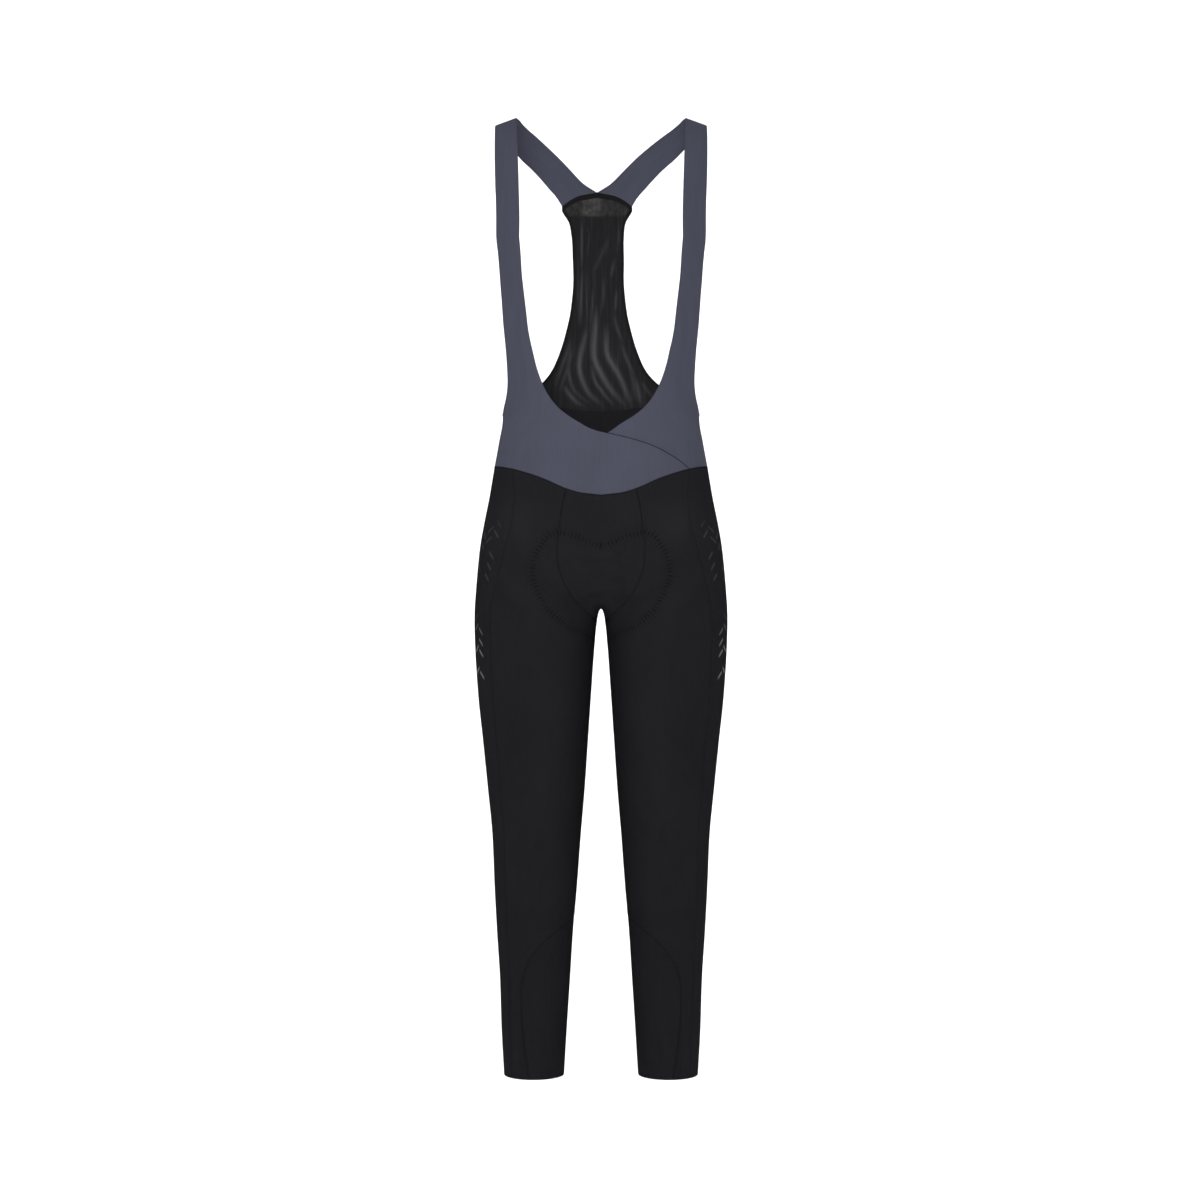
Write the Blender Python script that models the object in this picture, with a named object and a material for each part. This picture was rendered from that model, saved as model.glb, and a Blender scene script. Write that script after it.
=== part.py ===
# Cycling bib tights, filled out as when worn and held up by the straps.
# Metres, +Z up, -Y is the front, +X is the wearer's left.
# The origin lies midway between the tops of the two straps.

import bpy
import numpy as np

# Main sizes
STRAP_TOP = 1.404          # from hem to the top of the straps
CHEST = 1.220              # height where the straps begin to bend over the shoulder
ARCH = 0.250               # length of that bend, from the chest to the crest
CREST_MIDDLE = 1.453       # height of the shoulder line, carried on to the middle
CREST_FALL = 0.35          # fall of the shoulder line for each metre outward
CREST = CHEST + ARCH       # level of the shoulder seam
TRUNK = 0.847              # height from which a section is one oval

# Cloth
SLATE_WALL = 0.0015
BLACK_WALL = 0.0016
MESH_WALL = 0.0010
BAND_WALL = 0.0018
PAD_WALL = 0.0030
SEAM_GAP = 0.0003
BINDING_WIDTH = 0.0042
BINDING_START = 0.035      # share of its first cell left free at the side seam
LAP_DROP = SLATE_WALL + SEAM_GAP + 0.0009
LAP_RAMP = 0.014
PAD_DROP = BLACK_WALL + 0.0040   # clear of the flat cells of the legs

# Angle and level of the side seam's top and of the armhole's last cell before it
SIDE_TOP = (92.0, 0.966)
SIDE_TURN = 180 - SIDE_TOP[0]
ARMHOLE_END = (86.0, 0.974)
YOKE_TURN = 17.7           # end of the yoke band, from the back middle
MESH_TOP_TURN = 16.3       # where the mesh ends under it
CROSSING_PLACE = 16.0      # place on the neck edge where the two fronts cross
NECK_UNDER = 0.0045        # how much lower the under front's edge runs past the crossing

# Cells of each seam, shared by the pieces on both sides of it
STRAP_CELLS = 15
SIDE_SEAM_CELLS = 7
GUSSET_FRONT_CELLS = 10
GUSSET_BACK_CELLS = 9
SEAT_SEAM_CELLS = 7
INNER_LEG_CELLS = 14
CALF_TOP_CELLS = 6
CALF_SIDE_CELLS = 5
GUSSET_HALF_CELLS = 4
FRONT_LEG_CELLS = 8
SIDE_PANEL_CELLS = 3
BACK_HALF_CELLS = 8
YOKE_CELLS = 2
BACK_STRAP_CELLS = 10
MESH_CELLS = 12
PAD_CELLS = 18
PAD_SIDE_CELLS = 4
GUSSET_CELLS = GUSSET_FRONT_CELLS + GUSSET_BACK_CELLS
LEG_CELLS = GUSSET_FRONT_CELLS + INNER_LEG_CELLS + CALF_TOP_CELLS + CALF_SIDE_CELLS

# Sections of one leg, and above the crotch of the trunk, by height over the hem.
# outer and inner: distances from the middle plane; front and back: depths.
# blend: how softly the two sides join at the middle.
FORM_COLUMNS = ("height", "outer", "inner", "front", "back", "blend")
FORM = (
    (0.000, 0.1430, 0.0545, 0.042, 0.054, 0.000),
    (0.070, 0.1468, 0.0502, 0.046, 0.062, 0.000),
    (0.140, 0.1490, 0.0457, 0.050, 0.070, 0.000),
    (0.210, 0.1534, 0.0413, 0.055, 0.077, 0.000),
    (0.280, 0.1571, 0.0354, 0.060, 0.081, 0.000),
    (0.350, 0.1600, 0.0302, 0.066, 0.081, 0.000),
    (0.420, 0.1667, 0.0243, 0.073, 0.081, 0.000),
    (0.490, 0.1738, 0.0195, 0.079, 0.085, 0.000),
    (0.560, 0.1812, 0.0148, 0.085, 0.092, 0.000),
    (0.630, 0.1856, 0.0098, 0.091, 0.101, 0.000),
    (0.668, 0.1866, 0.0060, 0.095, 0.107, 0.000),
    (0.688, 0.1862, 0.0000, 0.097, 0.111, 0.000),
    (0.705, 0.1851, -0.016, 0.099, 0.115, 0.004),
    (0.740, 0.1822, -0.060, 0.103, 0.120, 0.030),
    (0.776, 0.1785, -0.110, 0.106, 0.121, 0.026),
    (0.811, 0.1726, -0.150, 0.107, 0.118, 0.010),
    (0.847, 0.1652, -0.1652, 0.107, 0.112, 0.000),
    (0.895, 0.1571, -0.1571, 0.106, 0.102, 0.000),
    (0.931, 0.1505, -0.1505, 0.105, 0.095, 0.000),
    (0.966, 0.1450, -0.1450, 0.105, 0.090, 0.000),
    (1.000, 0.1450, -0.1450, 0.106, 0.086, 0.000),
    (1.050, 0.1490, -0.1490, 0.109, 0.086, 0.000),
    (1.100, 0.1560, -0.1560, 0.113, 0.091, 0.000),
    (1.160, 0.1660, -0.1660, 0.119, 0.102, 0.000),
    (1.220, 0.1760, -0.1760, 0.124, 0.113, 0.000),
)

# Seams and edges on the form. angle: degrees from the front middle out to the side
# and round to the back middle at 180. level: height, and over the shoulder its arc.
# turn: degrees from the back middle. place: cell number along the seam.
ARMHOLE_FRONT = ("place", "angle", "level"), (
    (0, 62.5, CREST),
    (1, 62.3, 1.425),
    (2, 62.2, 1.382),
    (3, 61.8, 1.338),
    (4, 61.0, 1.297),
    (5, 59.9, 1.256),
    (6, 59.8, 1.216),
    (8, 62.6, 1.150),
    (10, 66.3, 1.095),
    (12, 68.4, 1.041),
    (13, 70.0, 1.016),
    (14, 74.5, 0.993),
    (15, 86.0, 0.974),
)
SIDE_SEAM = ("place", "angle", "level"), (
    (0, 92.0, 0.9660),
    (7, 92.0, 0.8955),
)
NECK_EDGE = ("place", "angle", "level"), (
    (0, 45.0, CREST),
    (1, 44.4, 1.420),
    (2, 43.9, 1.372),
    (3, 43.2, 1.325),
    (4, 42.4, 1.280),
    (5, 41.9, 1.240),
    (6, 42.3, 1.200),
    (7, 43.2, 1.160),
    (9, 43.2, 1.096),
    (11, 40.4, 1.046),
    (12, 38.0, 1.024),
    (13, 34.2, 1.003),
    (14, 28.8, 0.984),
    (15, 21.8, 0.968),
    (16, 12.4, 0.953),
    (17, 3.5, 0.9420),
    (18, -8.0, 0.9350),
    (19, -22.0, 0.9262),
    (20, -32.0, 0.9175),
    (21, -40.0, 0.9082),
    (22, -47.5, 0.8985),
    (23, -54.0, 0.8885),
)
WAIST_SEAM = ("angle", "level"), (
    (0.0, 0.8488),
    (10.0, 0.8520),
    (17.8, 0.8583),
    (31.0, 0.8730),
    (43.0, 0.8825),
    (54.0, 0.8885),
    (70.0, 0.8930),
    (92.0, 0.8955),
)
GUSSET_SEAM_FRONT = ("place", "x", "level"), (
    (0, 0.0500, 0.8583),
    (1, 0.0556, 0.8340),
    (2, 0.0592, 0.8080),
    (3, 0.0628, 0.7800),
    (4, 0.0622, 0.7540),
    (5, 0.0552, 0.7290),
    (6, 0.0440, 0.7070),
    (7, 0.0310, 0.6910),
    (8, 0.0190, 0.6800),
    (9, 0.0100, 0.6725),
    (10, 0.0060, 0.6680),
)
GUSSET_SEAM_BACK = ("place", "x", "level"), (
    (0, 0.0060, 0.6680),
    (1, 0.0100, 0.6725),
    (2, 0.0190, 0.6800),
    (3, 0.0290, 0.6900),
    (4, 0.0350, 0.7030),
    (5, 0.0370, 0.7170),
    (6, 0.0350, 0.7310),
    (7, 0.0300, 0.7440),
    (8, 0.0230, 0.7560),
    (9, 0.0150, 0.7660),
)
GUSSET_BOW = ("place", "pull"), (
    (0, 1.05),
    (4, 1.10),
    (6, 1.25),
    (7, 1.45),
    (8, 2.00),
    (9, 3.40),
    (10, 6.00),
    (11, 3.40),
    (12, 2.00),
    (13, 1.50),
    (15, 1.20),
    (19, 1.05),
)
PANEL_FRONT_SEAM = ("place", "angle", "level"), (
    (0, 54.0, 0.8885),
    (2, 49.0, 0.8480),
    (5, 46.0, 0.7780),
    (10, 45.0, 0.6900),
    (24, 45.0, 0.2620),
    (30, 45.0, 0.1650),
    (35, 45.0, 0.0000),
)
PANEL_BACK_SEAM = ("place", "angle", "level"), (
    (0, 92.0, 0.8955),
    (2, 95.0, 0.8550),
    (5, 100.0, 0.7840),
    (10, 104.0, 0.6920),
    (24, 105.0, 0.2620),
    (30, 105.0, 0.1650),
    (35, 105.0, 0.0000),
)
CALF_SEAM = ("place", "angle", "level"), (
    (0, -90.0, 0.2360),
    (1, -72.0, 0.2325),
    (2, -55.0, 0.2270),
    (3, -38.0, 0.2180),
    (4, -21.0, 0.2070),
    (5, -6.0, 0.1930),
    (6, 6.5, 0.1760),
    (7, 16.5, 0.1560),
    (8, 21.5, 0.1300),
    (9, 21.5, 0.1000),
    (10, 16.0, 0.0520),
    (11, 8.0, 0.0000),
)
BACK_TOP_SEAM = ("turn", "level"), (
    (0.0, 0.9850),
    (12.0, 0.9862),
    (25.0, 0.9895),
    (50.0, 0.9850),
    (70.0, 0.9745),
    (88.0, 0.9660),
)
MESH_EDGE = ("place", "turn", "level"), (
    (0, 88.0, 0.9700),
    (1, 78.0, 0.9790),
    (2, 66.0, 0.9885),
    (3, 50.0, 1.0030),
    (4, 36.6, 1.0200),
    (5, 27.4, 1.0420),
    (6, 21.2, 1.0720),
    (7, 16.8, 1.1050),
    (8, 13.6, 1.1400),
    (9, 11.6, 1.1900),
    (10, 11.5, 1.2300),
    (11, 12.4, 1.2560),
    (12, 16.3, 1.2752),
)
YOKE_TOP = ("turn", "level"), (
    (0.0, 1.2900),
    (8.0, 1.2893),
    (13.0, 1.2857),
    (17.7, 1.2790),
)
YOKE_DROP = 0.0058
BACK_STRAP_INNER = ("turn", "level"), (
    (45.0, CREST),
    (41.5, 1.430),
    (37.6, 1.4065),
    (33.5, 1.3895),
    (29.6, 1.3750),
    (25.9, 1.3620),
    (19.0, 1.3395),
    (12.9, 1.3200),
    (6.9, 1.3026),
    (0.0, 1.2900),
)
BACK_STRAP_OUTER = ("turn", "level"), (
    (62.5, CREST),
    (59.0, 1.430),
    (54.0, 1.4015),
    (47.5, 1.3732),
    (41.3, 1.3505),
    (35.0, 1.3332),
    (29.0, 1.3157),
    (24.5, 1.3018),
    (20.5, 1.2902),
    (17.7, 1.2790),
)
PAD_FRONT_EDGE = ("share", "place"), (
    (0.0, 3.30),
    (0.25, 2.96),
    (0.5, 2.58),
    (1.0, 2.42),
)
PAD_OUTLINE = ("place", "angle", "level"), (
    (0, 17.0, 0.7970),
    (1, 20.5, 0.7850),
    (2, 21.5, 0.7650),
    (3, 18.0, 0.7400),
    (4, 8.0, 0.7160),
    (5, -3.0, 0.6970),
    (6, -16.0, 0.6790),
    (7, -35.0, 0.6600),
    (8, -62.0, 0.6460),
    (9, -90.0, 0.6400),
    (10, -118.0, 0.6460),
    (11, -145.0, 0.6600),
    (12, -164.0, 0.6790),
    (13, -177.0, 0.6970),
    (14, -187.0, 0.7160),
    (15, -193.0, 0.7350),
    (16, -195.0, 0.7500),
    (17, -194.0, 0.7620),
    (18, -190.0, 0.7730),
)
PAD_BACK_PLACE = 18.6

# Colours and roughness of the cloths, by name
CLOTHS = {
    "slate_knit": ((0.083, 0.091, 0.122, 1.0), 0.78),
    "black_knit": ((0.016, 0.016, 0.018, 1.0), 0.72),
    "black_mesh": ((0.020, 0.020, 0.021, 1.0), 0.80),
    "black_band": ((0.014, 0.014, 0.015, 1.0), 0.70),
    "pad_foam": ((0.030, 0.030, 0.034, 1.0), 0.90),
}

# How far the sheer back and its straps hang to the wearer's right
SWAY = ("level", "shift"), (
    (0.985, 0.0000),
    (1.050, 0.0034),
    (1.200, 0.0037),
    (1.285, 0.0060),
    (1.340, 0.0050),
    (1.400, 0.0015),
    (1.440, 0.0000),
)


def columns(table):
    """Gives a table's columns by name, as arrays."""
    names, rows = table
    return {name: np.array([row[i] for row in rows], float) for i, name in enumerate(names)}


def curve_through(places, values):
    """Returns a smooth curve through values that never swings past them.

    Between two places it is a cubic; its slope at each place is the harmonic mean
    of the slopes on both sides, or nothing where they differ in sign.
    """
    places = np.asarray(places, float)
    values = np.asarray(values, float)
    gaps = np.diff(places)
    rises = np.diff(values) / gaps
    slopes = np.zeros_like(places)
    same = rises[:-1] * rises[1:] > 0
    total = np.where(same, rises[:-1] + rises[1:], 1.0)
    slopes[1:-1] = np.where(same, 2 * rises[:-1] * rises[1:] / total, 0.0)
    slopes[0] = rises[0]
    slopes[-1] = rises[-1]

    def at(place):
        place = np.asarray(place, float)
        i = np.clip(np.searchsorted(places, place) - 1, 0, len(gaps) - 1)
        t = np.clip((place - places[i]) / gaps[i], 0, 1)
        low = values[i] * (1 + 2 * t) * (1 - t) ** 2 + gaps[i] * slopes[i] * t * (1 - t) ** 2
        high = values[i + 1] * t * t * (3 - 2 * t) - gaps[i] * slopes[i + 1] * t * t * (1 - t)
        return low + high

    return at


FORM_TABLE = columns((FORM_COLUMNS, FORM))
SECTION = {name: curve_through(FORM_TABLE["height"], FORM_TABLE[name]) for name in FORM_COLUMNS}
BACK_SWAY = curve_through(*columns(SWAY).values())


def section_sides(height):
    """Gives a section's outer and inner distances from the middle plane."""
    outer = SECTION["outer"](height)
    return outer, np.where(height >= TRUNK, -outer, SECTION["inner"](height))


def form_point(chart, side=1.0):
    """Gives points of the worn form from an array of (angle, level).

    A level's section is an oval for each leg, from inner to outer and from front to
    back. Above the crotch the two ovals run into one another, and near the middle
    the crease between them is softened. Over the chest the depth shrinks as the
    cosine of the turn over the shoulder, and the height grows as its sine.
    """
    chart = np.asarray(chart, float)
    angle = np.radians(chart[..., 0])
    level = chart[..., 1]
    height = np.minimum(level, CHEST)
    outer, inner = section_sides(height)
    half = (outer - inner) / 2
    middle = (outer + inner) / 2
    x = middle + half * np.sin(angle)
    facing = np.cos(angle)
    depth = np.where(facing > 0, SECTION["front"](height), SECTION["back"](height))
    reach = np.maximum(middle, 1e-6)
    near = np.clip(1 - (x / reach) ** 2, 0, 1) ** 2
    soft = np.minimum(SECTION["blend"](height), middle * 0.6)
    push = (np.sqrt(x * x + soft * soft) - np.abs(x)) * near
    across = np.clip((x + push - middle) / half, -1, 1)
    bow = np.where(near > 0, np.sqrt(1 - across * across), np.abs(facing))
    turn = np.pi / 2 * np.clip((level - CHEST) / ARCH, 0, 1)
    y = -np.sign(facing) * depth * bow * np.cos(turn)
    crest = CREST_MIDDLE - CREST_FALL * np.abs(x)
    z = height + (crest - CHEST) * np.sin(turn)
    sway = BACK_SWAY(level) * np.clip(-2 * facing, 0, 1)
    return np.stack([side * x - sway, y, z - STRAP_TOP], axis=-1)


def form_normal(chart, side=1.0):
    """Gives the form's outward direction, from small steps in angle and level."""
    chart = np.asarray(chart, float)
    da = np.array([0.05, 0.0])
    dl = np.array([0.0, 0.0002])
    along_angle = form_point(chart + da, side) - form_point(chart - da, side)
    along_level = form_point(chart + dl, side) - form_point(chart - dl, side)
    crossed = np.cross(along_angle, along_level) * side
    return unit(crossed)


def unit(vectors):
    """Scales vectors to length one."""
    return vectors / np.maximum(np.linalg.norm(vectors, axis=-1, keepdims=True), 1e-12)


def angle_at(x, level, back=False):
    """Gives the angle at which a level's oval has the wanted distance from the middle."""
    outer, inner = section_sides(level)
    share = np.clip((x - (outer + inner) / 2) / ((outer - inner) / 2), -1, 1)
    angle = np.degrees(np.arcsin(share))
    return 180 - angle if back else angle


def seam(table, cells):
    """Samples a seam given by cell number, angle and level."""
    data = columns(table)
    places = np.arange(cells + 1.0)
    return np.stack([curve_through(data["place"], data[name])(places) for name in ("angle", "level")], axis=-1)


def seam_by_x(table, cells, back):
    """Samples a gusset seam given by cell number, distance from the middle and level."""
    data = columns(table)
    places = np.arange(cells + 1.0)
    x = curve_through(data["place"], data["x"])(places)
    level = curve_through(data["place"], data["level"])(places)
    return np.stack([angle_at(x, level, back), level], axis=-1)


def turned(chart):
    """Changes degrees from the back middle into degrees from the front middle."""
    return np.stack([180 - chart[..., 0], chart[..., 1]], axis=-1)


def eased(share):
    """Eases from 0 at 0 to 1 at 1."""
    share = np.clip(share, 0, 1)
    return share * share * (3 - 2 * share)


def evenly(first, last, cells):
    """Gives evenly spaced numbers, one more than there are cells."""
    return np.linspace(first, last, cells + 1)


def joined(*runs):
    """Joins runs of points, each beginning where the one before ends."""
    return np.concatenate([runs[0]] + [run[1:] for run in runs[1:]])


def patch(top, bottom, left, right):
    """Fills four edges: the sum of both straight fillings less that of the corners."""
    u = np.linspace(0, 1, len(top))[None, :, None]
    v = np.linspace(0, 1, len(left))[:, None, None]
    across = (1 - u) * left[:, None] + u * right[:, None]
    down = (1 - v) * top[None] + v * bottom[None]
    corners = (1 - v) * ((1 - u) * top[0] + u * top[-1]) + v * ((1 - u) * bottom[0] + u * bottom[-1])
    return across + down - corners


def drawn_in(points, normals, gap=SEAM_GAP / 2):
    """Moves a grid's four edges inward along the cloth by half of the seam's gap."""
    shift = np.zeros_like(points)
    for edge, next_one, axis in (
        ((slice(None), 0), (slice(None), 1), 0),
        ((slice(None), -1), (slice(None), -2), 0),
        ((0, slice(None)), (1, slice(None)), 1),
        ((-1, slice(None)), (-2, slice(None)), 1),
    ):
        along = np.gradient(points[edge], axis=0)
        inward = unit(np.cross(normals[edge], along))
        step = points[next_one] - points[edge]
        way = np.sign(np.sum(inward * step, axis=-1, keepdims=True))
        shift[edge] += gap * inward * way
    return points + shift


def shell(name, points, normals, wall, cloth, drop=0.0):
    """Makes a closed piece of cloth: its outer grid, the same grid one wall deeper,
    and a rim all round."""
    outer = drawn_in(points, normals) - normals * np.asarray(drop)
    inner = outer - normals * wall
    rows, cols = outer.shape[:2]
    count = rows * cols
    index = np.arange(count).reshape(rows, cols)
    cells = [index[:-1, :-1], index[1:, :-1], index[1:, 1:], index[:-1, 1:]]
    quads = np.stack(cells, axis=-1).reshape(-1, 4)
    ring = np.concatenate([index[:, 0], index[-1, 1:], index[:-1, -1][::-1], index[0, 1:-1][::-1]])
    after = np.roll(ring, -1)
    rim = np.stack([after, ring, ring + count, after + count], axis=-1)
    faces = np.concatenate([quads, quads[:, ::-1] + count, rim])
    row, col = rows // 2, cols // 2
    here = outer[row - 1, col - 1]
    facing = np.cross(outer[row, col - 1] - here, outer[row - 1, col] - here)
    if np.dot(facing, normals[row, col]) < 0:
        faces = faces[:, ::-1]
    mesh = bpy.data.meshes.new(name)
    mesh.from_pydata(np.concatenate([outer.reshape(-1, 3), inner.reshape(-1, 3)]).tolist(), [], faces.tolist())
    mesh.validate()
    mesh.shade_smooth()
    mesh.materials.append(material(cloth))
    piece = bpy.data.objects.new(name, mesh)
    PARTS.objects.link(piece)
    return piece


def material(name):
    """Makes or finds the cloth's material."""
    found = bpy.data.materials.get(name)
    if found:
        return found
    made = bpy.data.materials.new(name)
    made.use_nodes = True
    shader = made.node_tree.nodes["Principled BSDF"]
    colour, roughness = CLOTHS[name]
    shader.inputs["Base Color"].default_value = colour
    shader.inputs["Roughness"].default_value = roughness
    shader.inputs["Metallic"].default_value = 0.0
    made.diffuse_color = colour
    return made


def both_sides(name, chart, wall, cloth):
    """Makes a piece for the left leg and its mirror image for the right."""
    for word, side in (("left", 1.0), ("right", -1.0)):
        shell(name + "_" + word, form_point(chart, side), form_normal(chart, side), wall, cloth)


def waist_level(angle):
    """Gives the level of the seam between the front and the legs."""
    data = columns(WAIST_SEAM)
    return curve_through(data["angle"], data["level"])(np.abs(angle))


def waist_run(first, last, cells):
    """Samples the waist seam between two angles."""
    angles = evenly(first, last, cells)
    return np.stack([angles, waist_level(angles)], axis=-1)


def level_run(first, last, cells):
    """Samples a straight run on the chart."""
    return np.stack([evenly(first[0], last[0], cells), evenly(first[1], last[1], cells)], axis=-1)


def back_top(first, last, cells):
    """Samples the seam between the mesh and the black back, by turn from the back middle."""
    turns = evenly(first, last, cells)
    data = columns(BACK_TOP_SEAM)
    return turned(np.stack([turns, curve_through(data["turn"], data["level"])(turns)], axis=-1))


def mirrored(chart):
    """Changes angles on the left half of the trunk into those on the right half."""
    return np.stack([360 - chart[..., 0], chart[..., 1]], axis=-1)


def yoke_run(first, last, cells, drop=0.0):
    """Samples the yoke band's top edge, or a line below it, by turn from the back middle."""
    turns = evenly(first, last, cells)
    data = columns(YOKE_TOP)
    level = curve_through(data["turn"], data["level"])(np.abs(turns)) - drop
    return turned(np.stack([turns, level], axis=-1))


def by_level(table, cells):
    """Samples an edge given by turn and level at even steps of the level."""
    data = columns(table)
    levels = evenly(data["level"][0], data["level"][-1], cells)
    turns = curve_through(data["level"][::-1], data["turn"][::-1])(levels)
    return turned(np.stack([turns, levels], axis=-1))


def front_wraps():
    """Makes the two crossed fronts with their straps.

    Each is a patch from the shoulder seam down to the waist seam, between the
    armhole with the side seam and the neck edge, which crosses to the other side.
    The left front lies under the right one by a wall and a gap. Past the crossing its
    hidden edge runs a little lower, which puts the crossing left of the middle.
    """
    armhole = joined(seam(ARMHOLE_FRONT, STRAP_CELLS), level_run(ARMHOLE_END, SIDE_TOP, 1),
                     seam(SIDE_SEAM, SIDE_SEAM_CELLS))
    neck = seam(NECK_EDGE, len(armhole) - 1)
    bottom = joined(waist_run(SIDE_TOP[0], 54.0, SIDE_PANEL_CELLS), waist_run(54.0, 17.8, FRONT_LEG_CELLS),
                    waist_run(17.8, -17.8, 2 * GUSSET_HALF_CELLS), waist_run(-17.8, -54.0, FRONT_LEG_CELLS))
    top = level_run(armhole[0], neck[0], len(bottom) - 1)
    chart = patch(top, bottom, armhole, neck)
    shell("front_wrap_right", form_point(chart, -1.0), form_normal(chart, -1.0), SLATE_WALL, "slate_knit")
    place = np.arange(len(neck))
    past = eased((place - CROSSING_PLACE) / 1.2) * eased((place[-1] - place) / 3.0)
    chart = patch(top, bottom, armhole, neck - np.stack([0 * past, NECK_UNDER * past], axis=-1))
    lap = columns(NECK_EDGE)
    edge = curve_through(-lap["angle"][15:], lap["level"][15:])(chart[..., 0])
    under = eased((edge + LAP_RAMP - chart[..., 1]) / (LAP_RAMP * 0.8))
    drop = LAP_DROP * (under * np.clip((74.0 - chart[..., 0]) / 16.0, 0, 1))[..., None]
    shell("front_wrap_left", form_point(chart, 1.0), form_normal(chart, 1.0), SLATE_WALL, "slate_knit", drop)


def legs():
    """Makes the leg fronts, side panels, leg backs and lower-leg panels."""
    gusset_front = seam_by_x(GUSSET_SEAM_FRONT, GUSSET_FRONT_CELLS, False)
    gusset_back = seam_by_x(GUSSET_SEAM_BACK, GUSSET_BACK_CELLS, True)
    calf = seam(CALF_SEAM, CALF_TOP_CELLS + CALF_SIDE_CELLS)
    inner_leg = level_run(gusset_front[-1], calf[0], INNER_LEG_CELLS)
    front_inner = joined(gusset_front, inner_leg, calf)
    panel_front = seam(PANEL_FRONT_SEAM, LEG_CELLS)
    panel_back = seam(PANEL_BACK_SEAM, LEG_CELLS)

    hem_front = level_run(calf[-1], panel_front[-1], FRONT_LEG_CELLS)
    waist_front = waist_run(17.8, 54.0, FRONT_LEG_CELLS)
    both_sides("front_leg", patch(waist_front, hem_front, front_inner, panel_front), BLACK_WALL, "black_knit")

    hem_side = level_run(panel_front[-1], panel_back[-1], SIDE_PANEL_CELLS)
    waist_side = waist_run(54.0, SIDE_TOP[0], SIDE_PANEL_CELLS)
    both_sides("side_panel", patch(waist_side, hem_side, panel_front, panel_back), BLACK_WALL, "black_knit")

    back_calf = np.stack([180 - calf[:, 0], calf[:, 1]], axis=-1)
    back_inner_leg = np.stack([180 - inner_leg[:, 0], inner_leg[:, 1]], axis=-1)
    seat_levels = evenly(0.985, gusset_back[-1, 1], SEAT_SEAM_CELLS)
    seat = np.stack([angle_at(0.0, seat_levels, True), seat_levels], axis=-1)
    back_inner = np.concatenate([seat, gusset_back[::-1], back_inner_leg[1:], back_calf[1:]])
    side_back = joined(seam(SIDE_SEAM, SIDE_SEAM_CELLS), panel_back)
    top = back_top(0.0, SIDE_TURN, BACK_HALF_CELLS)
    hem_back = level_run(back_calf[-1], panel_back[-1], BACK_HALF_CELLS)
    both_sides("back_leg", patch(top, hem_back, back_inner, side_back), BLACK_WALL, "black_knit")

    top_half = calf[:CALF_TOP_CELLS + 1]
    front_side = calf[CALF_TOP_CELLS:]
    around = np.stack([-180 - calf[:, 0], calf[:, 1]], axis=-1)
    calf_top = joined(top_half[::-1], around[:CALF_TOP_CELLS + 1])
    calf_hem = level_run(front_side[-1], around[-1], 2 * CALF_TOP_CELLS)
    back_side = around[CALF_TOP_CELLS:]
    both_sides("calf_panel", patch(calf_top, calf_hem, front_side, back_side), BLACK_WALL, "black_knit")


def gusset_seam(place):
    """Gives the gusset's seam on the left leg at any place from its front to its back end.

    The angle keeps running inward past the inner leg, so that it never jumps.
    """
    runs = []
    for table, cells, back in ((GUSSET_SEAM_FRONT, 0, False), (GUSSET_SEAM_BACK, GUSSET_FRONT_CELLS, True)):
        data = columns(table)
        x = curve_through(data["place"] + cells, data["x"])(place)
        level = curve_through(data["place"] + cells, data["level"])(place)
        angle = angle_at(x, level, back) - (360.0 if back else 0.0)
        runs.append(np.stack([angle, level], axis=-1))
    return np.where((place <= GUSSET_FRONT_CELLS)[..., None], runs[0], runs[1])


def gusset_point(across, place):
    """Gives points of the gusset; across runs from -1 at the right seam to 1 at the left.

    At each place a cubic spans from seam to seam and leaves both along the leg's
    surface, with a pull given in widths. Toward the waist it passes into the form.
    """
    step = 0.02
    chart = gusset_seam(place)
    left = form_point(chart)
    normal = form_normal(chart)
    before = form_point(gusset_seam(np.maximum(place - step, 0.0)))
    after = form_point(gusset_seam(np.minimum(place + step, GUSSET_CELLS)))
    inward = unit(np.cross(after - before, normal))
    mirror = np.array([-1.0, 1.0, 1.0])
    right = left * mirror
    pull = curve_through(columns(GUSSET_BOW)["place"], columns(GUSSET_BOW)["pull"])(place)
    reach = (pull * np.linalg.norm(left - right, axis=-1))[..., None]
    t = ((across + 1) / 2)[..., None]
    spanned = (right * (1 + 2 * t) * (1 - t) ** 2 + left * t * t * (3 - 2 * t)
               + reach * inward * mirror * t * (1 - t) ** 2 + reach * inward * t * t * (1 - t))
    level = chart[..., 1]
    x = np.abs(across) * left[..., 0]
    angle = angle_at(x, level)
    dip = waist_level(angle) - waist_level(chart[..., 0])
    fade = np.clip(1 - place / 4.0, 0, 1)
    end_fade = np.clip((place - GUSSET_CELLS + 3.0) / 3.0, 0, 1)
    level = level + dip * fade
    side = np.where(across < 0, -1.0, 1.0)
    at_back = place > GUSSET_FRONT_CELLS
    angle = np.where(at_back, angle_at(x, level, True), angle_at(x, level))
    fade = np.maximum(fade, end_fade)
    on_form = form_point(np.stack([angle, level], axis=-1))
    on_form[..., 0] *= side
    return spanned + (on_form - spanned) * eased(fade)[..., None]


def gusset_normal(across, place):
    """Gives the gusset's outward direction, from small steps across and along."""
    step = 0.01
    low, high = np.maximum(across - step, -1.0), np.minimum(across + step, 1.0)
    fore, aft = np.maximum(place - step, 0.0), np.minimum(place + step, GUSSET_CELLS)
    along = gusset_point(across, aft) - gusset_point(across, fore)
    wide = gusset_point(high, place) - gusset_point(low, place)
    return unit(np.cross(along, wide))


def gusset():
    """Makes the middle panel from the waist seam through the crotch to the seat."""
    across, place = np.meshgrid(evenly(-1.0, 1.0, 2 * GUSSET_HALF_CELLS), np.arange(GUSSET_CELLS + 1.0))
    shell("front_gusset", gusset_point(across, place), gusset_normal(across, place), BLACK_WALL, "black_knit")


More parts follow.
